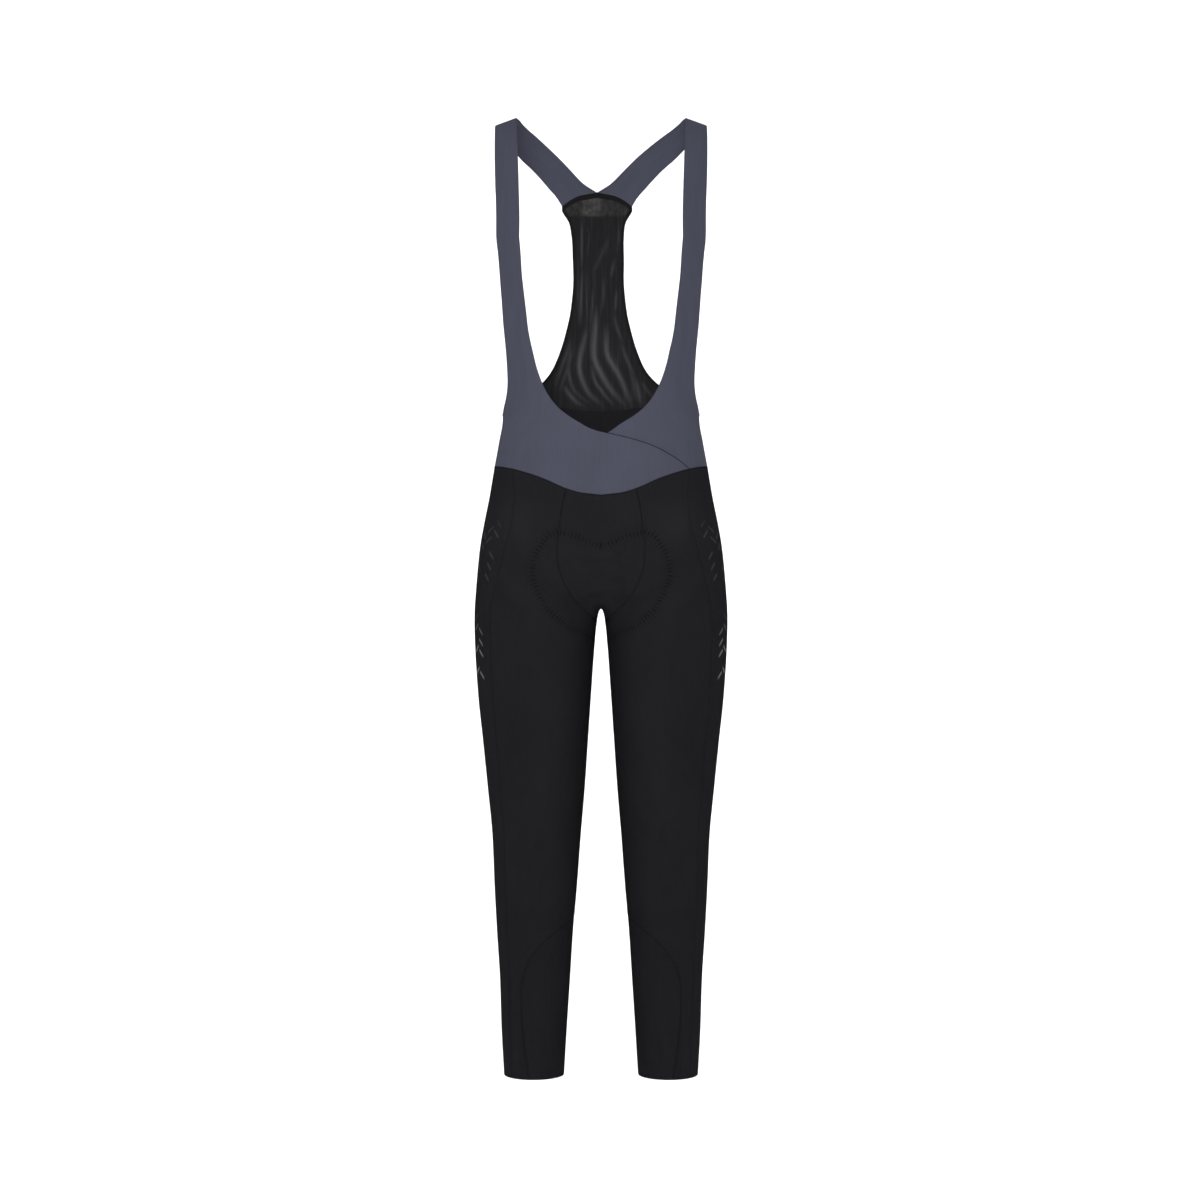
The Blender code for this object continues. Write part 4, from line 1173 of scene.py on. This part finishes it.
seat_line = form_point(seat), form_normal(seat)
waist_side = waist_run(SIDE_TOP[0], GUSSET_ANGLE, SIDE_PANEL_CELLS + FRONT_LEG_CELLS)
waist_middle = waist_run(GUSSET_ANGLE, 0.0, GUSSET_HALF_CELLS)
side_seam, calf_line = seam(SIDE_SEAM, SIDE_SEAM_CELLS), joined(calf[::-1], around)
for word, side in (("left", 1.0), ("right", -1.0)):
    chart_seam("thread_panel_front_" + word, "cloth_side_panel_" + word, panel_front, side,
               radius=FINE_THREAD)
    chart_seam("thread_panel_back_" + word, "cloth_back_leg_" + word, panel_back, side,
               radius=FINE_THREAD)
    chart_seam("thread_inner_leg_" + word, "cloth_front_leg_" + word, inner_leg, side)
    chart_seam("thread_calf_" + word, "cloth_calf_panel_" + word, calf_line, side,
               radius=FINE_THREAD)
    chart_seam("thread_gusset_front_" + word, "cloth_front_leg_" + word, gusset_front, side,
               radius=FINE_THREAD)
    chart_seam("thread_gusset_back_" + word, "cloth_back_leg_" + word, gusset_back, side,
               radius=FINE_THREAD)
    chart_seam("thread_waist_side_" + word, "cloth_front_wrap_" + word, waist_side, side)
    chart_seam("thread_side_seam_" + word, "cloth_front_wrap_" + word, side_seam, side)
    chart_seam("thread_back_top_" + word, "cloth_back_leg_" + word, back_top, side)
chart_seam("thread_waist_middle", "cloth_front_gusset", waist_middle)
chart_seam("thread_waist_middle_right", "cloth_front_gusset", waist_middle, -1.0)
flat_seam("thread_seat", "cloth_back_leg_left", *seat_line)
chart_seam("thread_yoke_left", "yoke_band_tape", strap_foot, 1.0, rise=YOKE_THREAD_RISE)
chart_seam("thread_yoke_right", "yoke_band_tape", strap_foot, -1.0, rise=YOKE_THREAD_RISE)

lap_edge = neck[int(CORD_START * FINE):]
edge_point, edge_normal = form_point(lap_edge, -1.0), form_normal(lap_edge, -1.0)
line, along, outward = along_line(edge_point, edge_normal, CORD_STEP)
cord = threads("lap_edge_cord", line[:-1], line[1:], outward[:-1], radius=CORD_RADIUS, lift=0.0)
STITCHES.setdefault("cloth_front_wrap_right", []).append(cord)
print("seams sewn:", sum(len(made) for made in STITCHES.values()))

# %% [markdown]
# ## The pad's ring of stitches
#
# The pad is sewn in with short threads that stand across its outline, so that the ring
# stretches with the cloth. In front the outline has two bumps and a dip between them.
# The ring follows the outline that the pad was drawn with, a little rounder there. The
# threads draw the cloth in, so each piece near the ring also stores how near it lies
# and how far along.

# %% Ring of stitches
RING_FRONT_EDGE = ("share", "place"), (
    (0.0, 3.14),
    (0.1, 3.12),
    (0.3, 2.92),
    (0.55, 2.56),
    (1.0, 2.42),
)
RING_STEP, RING_REACH, RING_BAND, RING_THREAD = 0.0055, 0.0026, 0.0075, 0.00030
top_across = gusset_width
half = len(top_across) // 2
ring_edge = columns(RING_FRONT_EDGE)
top_place = curve_through(ring_edge["share"], ring_edge["place"])(np.abs(top_across))
dome = gusset_point(top_across, top_place)
dome_normal = gusset_normal(top_across, top_place)
foot = np.full(top_across.shape, PAD_BACK_PLACE)
back_end, back_normal = gusset_point(top_across, foot), gusset_normal(top_across, foot)
ring = np.concatenate([dome[half:], form_point(outline)[2:], back_end[half:][::-1]])
ring_normal = [dome_normal[half:], form_normal(outline)[2:], back_normal[half:][::-1]]
ring_normal = np.concatenate(ring_normal)
line, along, outward = along_line(ring, ring_normal, RING_STEP)
line = line + outward * crease_relief(line)[:, None]
reach = unit(np.cross(outward, along)) * RING_REACH
for word, flip in (("left", np.ones(3)), ("right", MIRROR)):
    made = threads("thread_pad_ring_" + word, (line - reach) * flip, (line + reach) * flip,
                   outward * flip, RING_THREAD)
    STITCHES["cloth_front_gusset"].append(made)


def ring_marks(piece, ring_points):
    """Stores how near each point of a piece lies to the ring, and how far along it."""
    count = len(piece.data.vertices)
    points = np.empty(count * 3, np.float32)
    piece.data.vertices.foreach_get("co", points)
    points = np.abs(points.reshape(-1, 3)) * (1, 0, 0) + points.reshape(-1, 3) * (0, 1, 1)
    length = np.concatenate([[0.0], np.cumsum(np.linalg.norm(np.diff(ring_points, axis=0), axis=1))])
    best, arc = np.full(count, 1e9), np.zeros(count)
    for i in range(len(ring_points) - 1):
        run = ring_points[i + 1] - ring_points[i]
        t = np.clip(((points - ring_points[i]) @ run) / (run @ run), 0, 1)
        distance = np.linalg.norm(points - ring_points[i] - t[:, None] * run, axis=1)
        closer = distance < best
        best = np.where(closer, distance, best)
        arc = np.where(closer, length[i] + t * (length[i + 1] - length[i]), arc)
    for layer, values in (("ring", np.exp(-(best / RING_BAND) ** 4)), ("arc", arc)):
        made = piece.data.attributes.new(layer, "FLOAT", "POINT")
        made.data.foreach_set("value", values.astype(np.float32))


for name in ("cloth_front_gusset", "cloth_front_leg_left", "cloth_front_leg_right",
             "cloth_back_leg_left", "cloth_back_leg_right"):
    ring_marks(PIECES[name], line)
sewn = [piece for made in STITCHES.values() for piece in made]
faces = THREAD_SIDES * (THREAD_STATIONS - 1)
print("stitch pieces:", len(sewn), "threads:", sum(len(o.data.polygons) // faces for o in sewn))

# %% [markdown]
# ## Writing materials as sums
#
# A material's colour is worked out by small nodes, one for each sum. A small class
# lets the same sums be written as plain expressions. Every term is a number or a
# colour on its way through the node tree.

# %% Shader expressions
class Term:
    """A number flowing through a material's nodes."""

    def __init__(self, tree, socket):
        self.tree, self.socket = tree, socket

    def sum_node(self, operation, *terms):
        node = self.tree.nodes.new("ShaderNodeMath")
        node.operation = operation
        for place, term in enumerate(terms):
            feed(self.tree, term, node.inputs[place])
        return Term(self.tree, node.outputs[0])

    def __add__(self, other):
        return self.sum_node("ADD", self, other)

    def __sub__(self, other):
        return self.sum_node("SUBTRACT", self, other)

    def __rsub__(self, other):
        return self.sum_node("SUBTRACT", other, self)

    def __mul__(self, other):
        return self.sum_node("MULTIPLY", self, other)

    def __truediv__(self, other):
        return self.sum_node("DIVIDE", self, other)

    def __pow__(self, other):
        return self.sum_node("POWER", self, other)

    __radd__, __rmul__ = __add__, __mul__

    def sine(self):
        return self.sum_node("SINE", self)

    def size(self):
        return self.sum_node("ABSOLUTE", self)

    def part(self):
        return self.sum_node("FRACT", self)

    def whole(self):
        return self.sum_node("FLOOR", self)

    def least(self, other):
        return self.sum_node("MINIMUM", self, other)

    def most(self, other):
        return self.sum_node("MAXIMUM", self, other)

    def ramp(self, start, end):
        """Eases from 0 at start to 1 at end."""
        node = self.tree.nodes.new("ShaderNodeMapRange")
        node.interpolation_type = "SMOOTHSTEP"
        for name, term in (("Value", self), ("From Min", start), ("From Max", end)):
            feed(self.tree, term, node.inputs[name])
        return Term(self.tree, node.outputs[0])


def feed(tree, term, socket):
    """Joins a term to a socket, or sets the socket's own number or colour."""
    if isinstance(term, Term):
        tree.links.new(term.socket, socket)
    else:
        socket.default_value = term


class Finish:
    """A material being made, with its shader and the cloth's own measures."""

    def __init__(self, name, roughness, sheen=0.0, sheen_roughness=0.5, gloss=0.0):
        self.material = bpy.data.materials.new(name)
        self.material.use_nodes = True
        self.tree = self.material.node_tree
        self.shader = self.tree.nodes["Principled BSDF"]
        self.shader.inputs["Roughness"].default_value = roughness
        self.shader.inputs["Sheen Weight"].default_value = sheen
        self.shader.inputs["Sheen Roughness"].default_value = sheen_roughness
        self.shader.inputs["Specular IOR Level"].default_value = gloss

    def node(self, kind, settings=None, output=0, **inputs):
        """Adds any node: its type and settings first, then its sockets' values."""
        made = self.tree.nodes.new(kind)
        for key, value in (settings or {}).items():
            setattr(made, key, value)
        for key, value in inputs.items():
            feed(self.tree, value, made.inputs[key.replace("_", " ")])
        return Term(self.tree, made.outputs[output])

    def metres(self):
        """Gives the distances across and along the cloth."""
        uv = self.node("ShaderNodeUVMap", {"uv_map": "metres"})
        parts = self.tree.nodes.new("ShaderNodeSeparateXYZ")
        feed(self.tree, uv, parts.inputs[0])
        return Term(self.tree, parts.outputs[0]), Term(self.tree, parts.outputs[1])

    def stored(self, name):
        """Gives a number that the mesh stores at its points."""
        return self.node("ShaderNodeAttribute", {"attribute_name": name}, output=2)

    def noise(self, across, along, detail=2.0):
        """Gives soft noise, around 0.5, of two coordinates given in cells."""
        place = self.node("ShaderNodeCombineXYZ", X=across, Y=along)
        return self.node("ShaderNodeTexNoise", Vector=place, Scale=1.0, Detail=detail)

    def mix(self, first, second, share):
        """Mixes two colours."""
        made = self.tree.nodes.new("ShaderNodeMix")
        made.data_type = "RGBA"
        feed(self.tree, share, made.inputs[0])
        for colour, place in ((first, 6), (second, 7)):
            feed(self.tree, (*colour, 1.0) if isinstance(colour, tuple) else colour, made.inputs[place])
        return Term(self.tree, made.outputs[2])

    def colour(self, term):
        feed(self.tree, term, self.shader.inputs["Base Color"])

    def alpha(self, term):
        feed(self.tree, term, self.shader.inputs["Alpha"])

    def relief(self, height, depth, strength=1.0):
        """Raises the surface by height (from 0 to 1) times depth, in metres."""
        feed(self.tree, self.node("ShaderNodeBump", Strength=strength, Distance=depth, Height=height),
             self.shader.inputs["Normal"])


TAU = 2 * np.pi
print("ways to join terms:", len([name for name in vars(Term) if not name.startswith("_")]))

# %% [markdown]
# ## The knits
#
# A knit is rows of small V shapes. The wales run along the cloth and the courses run
# across it. Each loop leans one way on the left of its wale and the other way on the
# right. The same drawing serves both fabrics: the grey one is a soft, slightly
# heathered jersey, and the black one is finer. Where the pad is sewn in, the black
# knit is drawn into short dents that stand across the ring, with painted shade in them.

# %% Knit finishes
# DENT_SHADE times the dark colour is the painted shade in the ring's dents and beside seams
DENT_SHADE, PAINTED_LIGHT_GAIN = 0.45, 3.0


def knit(name, dark, light, wale, course, roughness, sheen, depth):
    """Makes a knit.

    height = |sin(pi across / wale)| * (0.6 + 0.4 sin(tau (along / course + lean))),
    where lean = 0.35 |sin(pi across / wale)| makes the V. The colour is a sum of fine
    heather, long grain, broad soft patches and the loops, whose raised tops are painted
    a little lighter, a painted shade between them. It has painted light on spots of the
    front, and painted shade beside a seam and in the dents of the ring.
    """
    made = Finish(name, roughness, sheen, 0.4)
    across, along = made.metres()
    column = (across * (np.pi / wale)).sine().size()
    loops = column * (((along / course + column * 0.35) * TAU).sine() * 0.4 + 0.6)
    heather = made.noise(across * 1500.0, along * 700.0, 3.0)
    patches = made.noise(across * 16.0, along * 9.0, 2.0)
    grain = made.noise(across * 380.0, along * 16.0, 2.0)
    seam_near = made.stored("seam")
    # The loops' raised tops are painted a little lighter: a painted shade between the loops
    share = heather * 0.6 + patches * 0.55 + grain * 0.35 + loops * 0.25 - 0.38
    shade = made.mix(dark, light, share.least(1.0).most(0.0))
    # Painted light: where the stored share is high, the knit is mixed toward a lighter colour
    shade = made.mix(shade, tuple(PAINTED_LIGHT_GAIN * c for c in dark), made.stored("fold") * 0.6)
    # Painted shade in the dents of the ring, stronger or weaker at random along it
    dash = ((made.stored("arc") * (TAU / RING_STEP)).sine()).ramp(-0.6, 0.9) * made.stored("ring")
    dent_shade_noise = made.noise(across * 60.0, along * 45.0, 2.0).ramp(0.30, 0.70) * 0.36 + 0.10
    recess_shade = tuple(DENT_SHADE * c for c in dark)
    shade = made.mix(shade, recess_shade, dash * dent_shade_noise)
    # Painted shade in the dip beside each seam
    made.colour(made.mix(shade, recess_shade, seam_near ** 2.0 * 0.6))
    made.relief(loops + heather * 0.5 - dash * 1.5, depth)
    return made


# dark, light, wale, course, roughness, sheen and depth of relief
SLATE_BASE = (0.055, 0.057, 0.079), (0.088, 0.091, 0.127), 0.00090, 0.00075, 0.78, 0.02, 0.00012
BLACK_DARK, BLACK_LIGHT = (0.0102, 0.0102, 0.0115), (0.0190, 0.0190, 0.0212)
BLACK_BASE = BLACK_DARK, BLACK_LIGHT, 0.00070, 0.00060, 0.62, 0.004, 0.00008
slate = knit("slate_knit_cloth", *SLATE_BASE)
black = knit("black_knit_cloth", *BLACK_BASE)
print("knits:", slate.material.name, black.material.name)

# %% [markdown]
# ## Side panel with a print
#
# The side panels are the same black knit. Short slanted bars are printed on them in
# greys, in columns that lean left and right by turns, like the bones of a herring.
# The upper group is faint. The lower one is brighter and sits further back.

# %% Printed finish
def printed(name, base, faint, bright):
    """Copies the knit's sums and adds the print.

    Columns have the number floor(across / column). In each, a bar is where
    |part((along + lean) / step) - 0.5| < half a bar, and the lean changes its sign
    from one column to the next.
    """
    made = knit(name, *base)
    across, along = made.metres()
    column_width, step, lean, shift = 0.0165, 0.0160, 0.0120, 0.37
    number = (across / column_width).whole()
    p = (across / column_width).part() - 0.5
    way = (number * 0.5).part() * 4.0 - 1.0
    q_all = (along + p * way * lean) / step + number * shift
    thick, wide = (q_all.part() - 0.5).size().ramp(0.10, 0.15), p.size().ramp(0.36, 0.42)
    bar = (1.0 - thick) * (1.0 - wide)
    # each bar's own number between 0 and 1, by which some bars are left out
    chance = ((number * 12.9898 + q_all.whole() * 78.233).sine() * 43758.5453).part()
    upper = along.ramp(0.070, 0.100) * (1.0 - along.ramp(0.165, 0.180))
    upper = upper * across.ramp(0.012, 0.020)
    lower = along.ramp(0.205, 0.280) * (1.0 - along.ramp(0.310, 0.330))
    lower = lower * across.ramp(0.016, 0.024)
    under = Term(made.tree, made.shader.inputs["Base Color"].links[0].from_socket)
    shade = made.mix(under, faint, bar * upper * chance.ramp(0.35, 0.38) * 0.9)
    made.colour(made.mix(shade, bright, bar * lower * chance.ramp(0.55, 0.58) * 0.9))
    return made


side_print = printed("side_print_cloth", BLACK_BASE, (0.034, 0.034, 0.036), (0.160, 0.160, 0.163))
print("print:", side_print.material.name)

# %% [markdown]
# ## Sheer mesh, tape, foam and thread
#
# The mesh is a dark net with tiny round holes in a staggered pattern. It is nearly
# closed where it lies slack. Where it is pulled into a fold, and in the short piece
# just under the band, its holes open and light comes through. The folds also get a
# painted sheen. Fine streaks run down it, and the piece under the band gets painted
# light, mottled and lightest near its middle.

# %% Mesh, tape, foam and thread finishes
PATCH_MIDDLE, PATCH_FOOT, PATCH_TOP = -0.0135, -0.1225, -0.1165


def sheer_mesh():
    """Makes the net: a hole is where the distance to a cell's middle is under a radius."""
    made = Finish("black_mesh_cloth", 0.6, 0.01)
    across, along = made.metres()
    cell, tall, hole, blur = 0.0016, 0.0014, 0.00030, 0.00005
    row = (along / tall).whole()
    p = ((across / cell + row * 0.5).part() - 0.5) * cell
    q = ((along / tall).part() - 0.5) * tall
    distance = (p * p + q * q) ** 0.5
    in_space = made.node("ShaderNodeTexCoord", output=3)
    sideways = made.node("ShaderNodeSeparateXYZ", output=0, Vector=in_space)
    height = made.node("ShaderNodeSeparateXYZ", output=2, Vector=in_space)
    # The pulls' stored brightness opens the holes and gives a painted sheen
    pull_sheen_and_opening = made.stored("fold")
    # The piece under the band: its holes open, and it gets painted light, mottled and lightest near its
    # middle
    mottle = made.noise(sideways * 170.0, height * 110.0, 3.0).ramp(0.35, 0.70)
    middle = 1.0 - (sideways - PATCH_MIDDLE).size().ramp(0.006, 0.020)
    top_part = height.ramp(PATCH_FOOT, PATCH_TOP)
    top_part = top_part * (middle * 0.62 + 0.38) * (mottle * 0.60 + 0.40)
    streak = made.noise(sideways * 330.0, height * 11.0, 3.0).ramp(0.42, 0.78)
    veil = 0.04 + pull_sheen_and_opening * 0.24 + top_part * 0.22 + streak * 0.05
    made.alpha(1.0 - (1.0 - distance.ramp(hole - blur, hole + blur)) * veil)
    # Painted sheen of the pulls, plus the net's own fine streaks, makes the cloth lighter
    pull_sheen_and_streaks = (pull_sheen_and_opening + streak * 0.22).least(1.0)
    cloth_shade = made.mix((0.0150, 0.0150, 0.0162), (0.060, 0.059, 0.062), pull_sheen_and_streaks)
    # Painted light on the piece under the band
    made.colour(made.mix(cloth_shade, (0.066, 0.062, 0.060), top_part * 0.9))
    made.relief(1.0 - distance / cell, 0.00015)
    return made


def tape(name, colour, rib):
    """Makes a flat elastic tape: fine ribs run along it, with painted shade between them."""
    made = Finish(name, 0.5, 0.05)
    across, along = made.metres()
    ribs = (across * (TAU / rib)).sine() * 0.5 + 0.5
    fuzz = made.noise(across * 900.0, along * 900.0)
    # Painted shade between the ribs, with fine fuzz
    made.colour(made.mix(tuple(0.7 * c for c in colour), colour, ribs * 0.5 + fuzz * 0.5))
    made.relief(ribs, 0.00010)
    return made


def foam():
    """Makes the pad: brushed cloth over foam, with a faint dimple in each cell and painted shade in it.
    """
    made = Finish("pad_foam_cloth", 0.85, 0.3)
    across, along = made.metres()
    p, q = (across / 0.008).part() - 0.5, (along / 0.008).part() - 0.5
    dimple = ((p * p + q * q) ** 0.5).ramp(0.05, 0.16)
    nap = made.noise(across * 1200.0, along * 1200.0)
    # Painted shade in each dimple, with the nap's own tone
    made.colour(made.mix((0.030, 0.032, 0.036), (0.052, 0.055, 0.062), dimple * 0.6 + nap * 0.4))
    made.relief(dimple + nap * 0.15, 0.0004)
    return made


def thread(name, colour):
    """Makes twisted thread: dark and light follow each other along it."""
    made = Finish(name, 0.45, 0.0)
    place = made.node("ShaderNodeTexCoord", output=3)
    twist = made.node("ShaderNodeTexNoise", Vector=place, Scale=1800.0, Detail=1.0)
    made.colour(made.mix(tuple(0.6 * c for c in colour), colour, twist))
    return made


mesh_finish, band_finish = sheer_mesh(), tape("black_band_tape", (0.014, 0.014, 0.015), 0.0007)
foam_finish = foam()
black_thread = thread("black_thread", (0.0075, 0.0075, 0.0085))
ring_thread = thread("ring_thread", (0.0035, 0.0035, 0.0040))
print("finishes:", len(bpy.data.materials))

# %% [markdown]
# ## Putting finishes on the cloth
#
# Each piece gets its finish, takes the place of its CAD node, and rides on the one
# body.

# %% Finishes and places
CLOTHS = (
    ("cloth_front_wrap_right", "front_wrap_right", "slate_knit", slate, ()),
    ("cloth_front_wrap_left", "front_wrap_left", "slate_knit", slate, ("cloth_front_wrap_right",)),
    ("cloth_front_gusset", "front_gusset", "black_knit", black, ("cloth_front_wrap_right",)),
    ("cloth_front_leg_left", "front_leg_left", "black_knit", black, ("cloth_front_wrap_left",)),
    ("cloth_front_leg_right", "front_leg_right", "black_knit", black, ("cloth_front_wrap_right",)),
    ("cloth_side_panel_left", "side_panel_left", "black_knit", side_print, ("cloth_front_wrap_left",)),
    ("cloth_side_panel_right", "side_panel_right", "black_knit", side_print, ("cloth_front_wrap_right",)),
    ("cloth_back_leg_left", "back_leg_left", "black_knit", black, ("cloth_back_mesh",)),
    ("cloth_back_leg_right", "back_leg_right", "black_knit", black, ("cloth_back_mesh",)),
    ("cloth_calf_panel_left", "calf_panel_left", "black_knit", black, ("cloth_front_leg_left",)),
    ("cloth_calf_panel_right", "calf_panel_right", "black_knit", black, ("cloth_front_leg_right",)),
    ("cloth_back_mesh", "back_mesh", "black_mesh", mesh_finish, ("yoke_band_tape",)),
    ("cloth_back_strap_left", "back_strap_left", "slate_knit", slate, ("cloth_front_wrap_left",)),
    ("cloth_back_strap_right", "back_strap_right", "slate_knit", slate, ("cloth_front_wrap_right",)),
)
TAPES = (
    ("mesh_binding_tape_left", "mesh_binding_left"),
    ("mesh_binding_tape_right", "mesh_binding_right"),
    ("yoke_band_tape", "yoke_band"),
)


def settle(piece, finish, node=None):
    """Gives a piece its finish, its material slot and its place in the model."""
    piece.data.materials.append(finish.material)
    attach(piece, "root")
    if node:
        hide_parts(node)


for name, node in TAPES:
    settle(PIECES[name], band_finish, node)
settle(PIECES["chamois_pad_foam"], foam_finish, "chamois_pad")

for name, node, slot_name, finish, held_by in CLOTHS:
    settle(PIECES[name], finish, node)
    sewn = STITCHES.get(name, [])
    for made in sewn:
        settle(made, ring_thread if "pad_ring" in made.name else black_thread)
    tapes = [PIECES[tape_name] for tape_name, _ in TAPES] if name == "cloth_back_mesh" else []
    sewn + tapes
for made in STITCHES.get("yoke_band_tape", []):
    settle(made, black_thread)

# %% [markdown]
# ## Studio
#
# The tights hang in the air before a white sweep, as a product is shown. A soft light
# stands close to the camera's line and has a narrow beam, so that the waist is the
# lightest and the cloth falls off toward the sides, the shoulders and the ankles. A
# weak one fills from the right, one from above and one from behind. Two light only
# the sweep.

# %% Floor, lights and camera
def sweep():
    """Makes the floor and backdrop in one: a flat part, a quarter circle and a wall."""
    floor_z, wall_y, radius, half = -1.65, 4.2, 1.6, 7.0
    turn = np.linspace(0, np.pi / 2, 24)
    y = np.concatenate([[-7.0], wall_y - radius + radius * np.sin(turn), [wall_y]])
    z = np.concatenate([[floor_z], floor_z + radius - radius * np.cos(turn), [6.0]])
    left = np.stack([np.full_like(y, -half), y, z], axis=-1)
    right = left * MIRROR
    count = len(y)
    faces = [(i, i + count, i + count + 1, i + 1) for i in range(count - 1)]
    mesh = bpy.data.meshes.new("studio_sweep")
    mesh.from_pydata(np.concatenate([left, right]).tolist(), [], faces)
    mesh.shade_smooth()
    made = bpy.data.objects.new("studio_sweep", mesh)
    bpy.context.scene.collection.objects.link(made)
    paper = Finish("studio_paper", 0.9)
    place = paper.node("ShaderNodeTexCoord", output=3)
    grain = paper.node("ShaderNodeTexNoise", Vector=place, Scale=3.0, Detail=2.0)
    paper.colour(paper.mix((0.90, 0.90, 0.90), (0.93, 0.93, 0.93), grain))
    mesh.materials.append(paper.material)


def soft_light(name, place, target, width, height, power, spread=180.0):
    """Adds a large soft light that faces a point; spread is its beam in degrees."""
    data = bpy.data.lights.new(name, "AREA")
    data.shape, data.size, data.size_y, data.energy = "RECTANGLE", width, height, power
    data.spread = np.radians(spread)
    made = bpy.data.objects.new(name, data)
    made.location = place
    way = Vector(target) - Vector(place)
    made.rotation_euler = way.to_track_quat("-Z", "Y").to_euler()
    bpy.context.scene.collection.objects.link(made)


MIDDLE = (0.0, 0.0, -0.70)
sweep()
soft_light("key", (-0.2, -2.8, -0.05), (0.0, 0.0, -0.55), 1.2, 0.9, 14.0, spread=80.0)
soft_light("fill", (0.8, -4.4, 0.0), MIDDLE, 1.2, 2.2, 12.0)
soft_light("above", (0.0, -0.5, 2.6), MIDDLE, 2.4, 2.4, 20.0)
soft_light("behind", (0.5, 3.0, 2.2), MIDDLE, 2.4, 1.4, 60.0)
soft_light("sweep_left", (-2.6, 0.8, 0.6), (-1.2, 4.2, -0.6), 1.6, 3.0, 118.0)
soft_light("sweep_right", (2.6, 0.8, 0.6), (1.2, 4.2, -0.6), 1.6, 3.0, 118.0)

world = bpy.data.worlds.new("studio_world")
world.use_nodes = True
world.node_tree.nodes["Background"].inputs["Color"].default_value = (1.0, 1.0, 1.0, 1.0)
world.node_tree.nodes["Background"].inputs["Strength"].default_value = 0.14
bpy.context.scene.world = world

CAMERA_DISTANCE, CAMERA_SIDE, CAMERA_HEIGHT = 3.2, -0.0015, -0.705
SENSOR, PHOTO_PIXELS, METRES_PER_PIXEL = 36.0, 1200, 0.001475
lens_data = bpy.data.cameras.new("camera")
lens_data.sensor_width = SENSOR
lens_data.lens = SENSOR * CAMERA_DISTANCE / (PHOTO_PIXELS * METRES_PER_PIXEL)
camera = bpy.data.objects.new("camera", lens_data)
camera.location = (CAMERA_SIDE, -CAMERA_DISTANCE, CAMERA_HEIGHT)
camera.rotation_euler = (np.pi / 2, 0.0, 0.0)
bpy.context.scene.collection.objects.link(camera)
bpy.context.scene.camera = camera
bpy.context.scene.view_settings.view_transform = "Standard"
print("lens:", round(lens_data.lens, 2), "mm")

# %% [markdown]
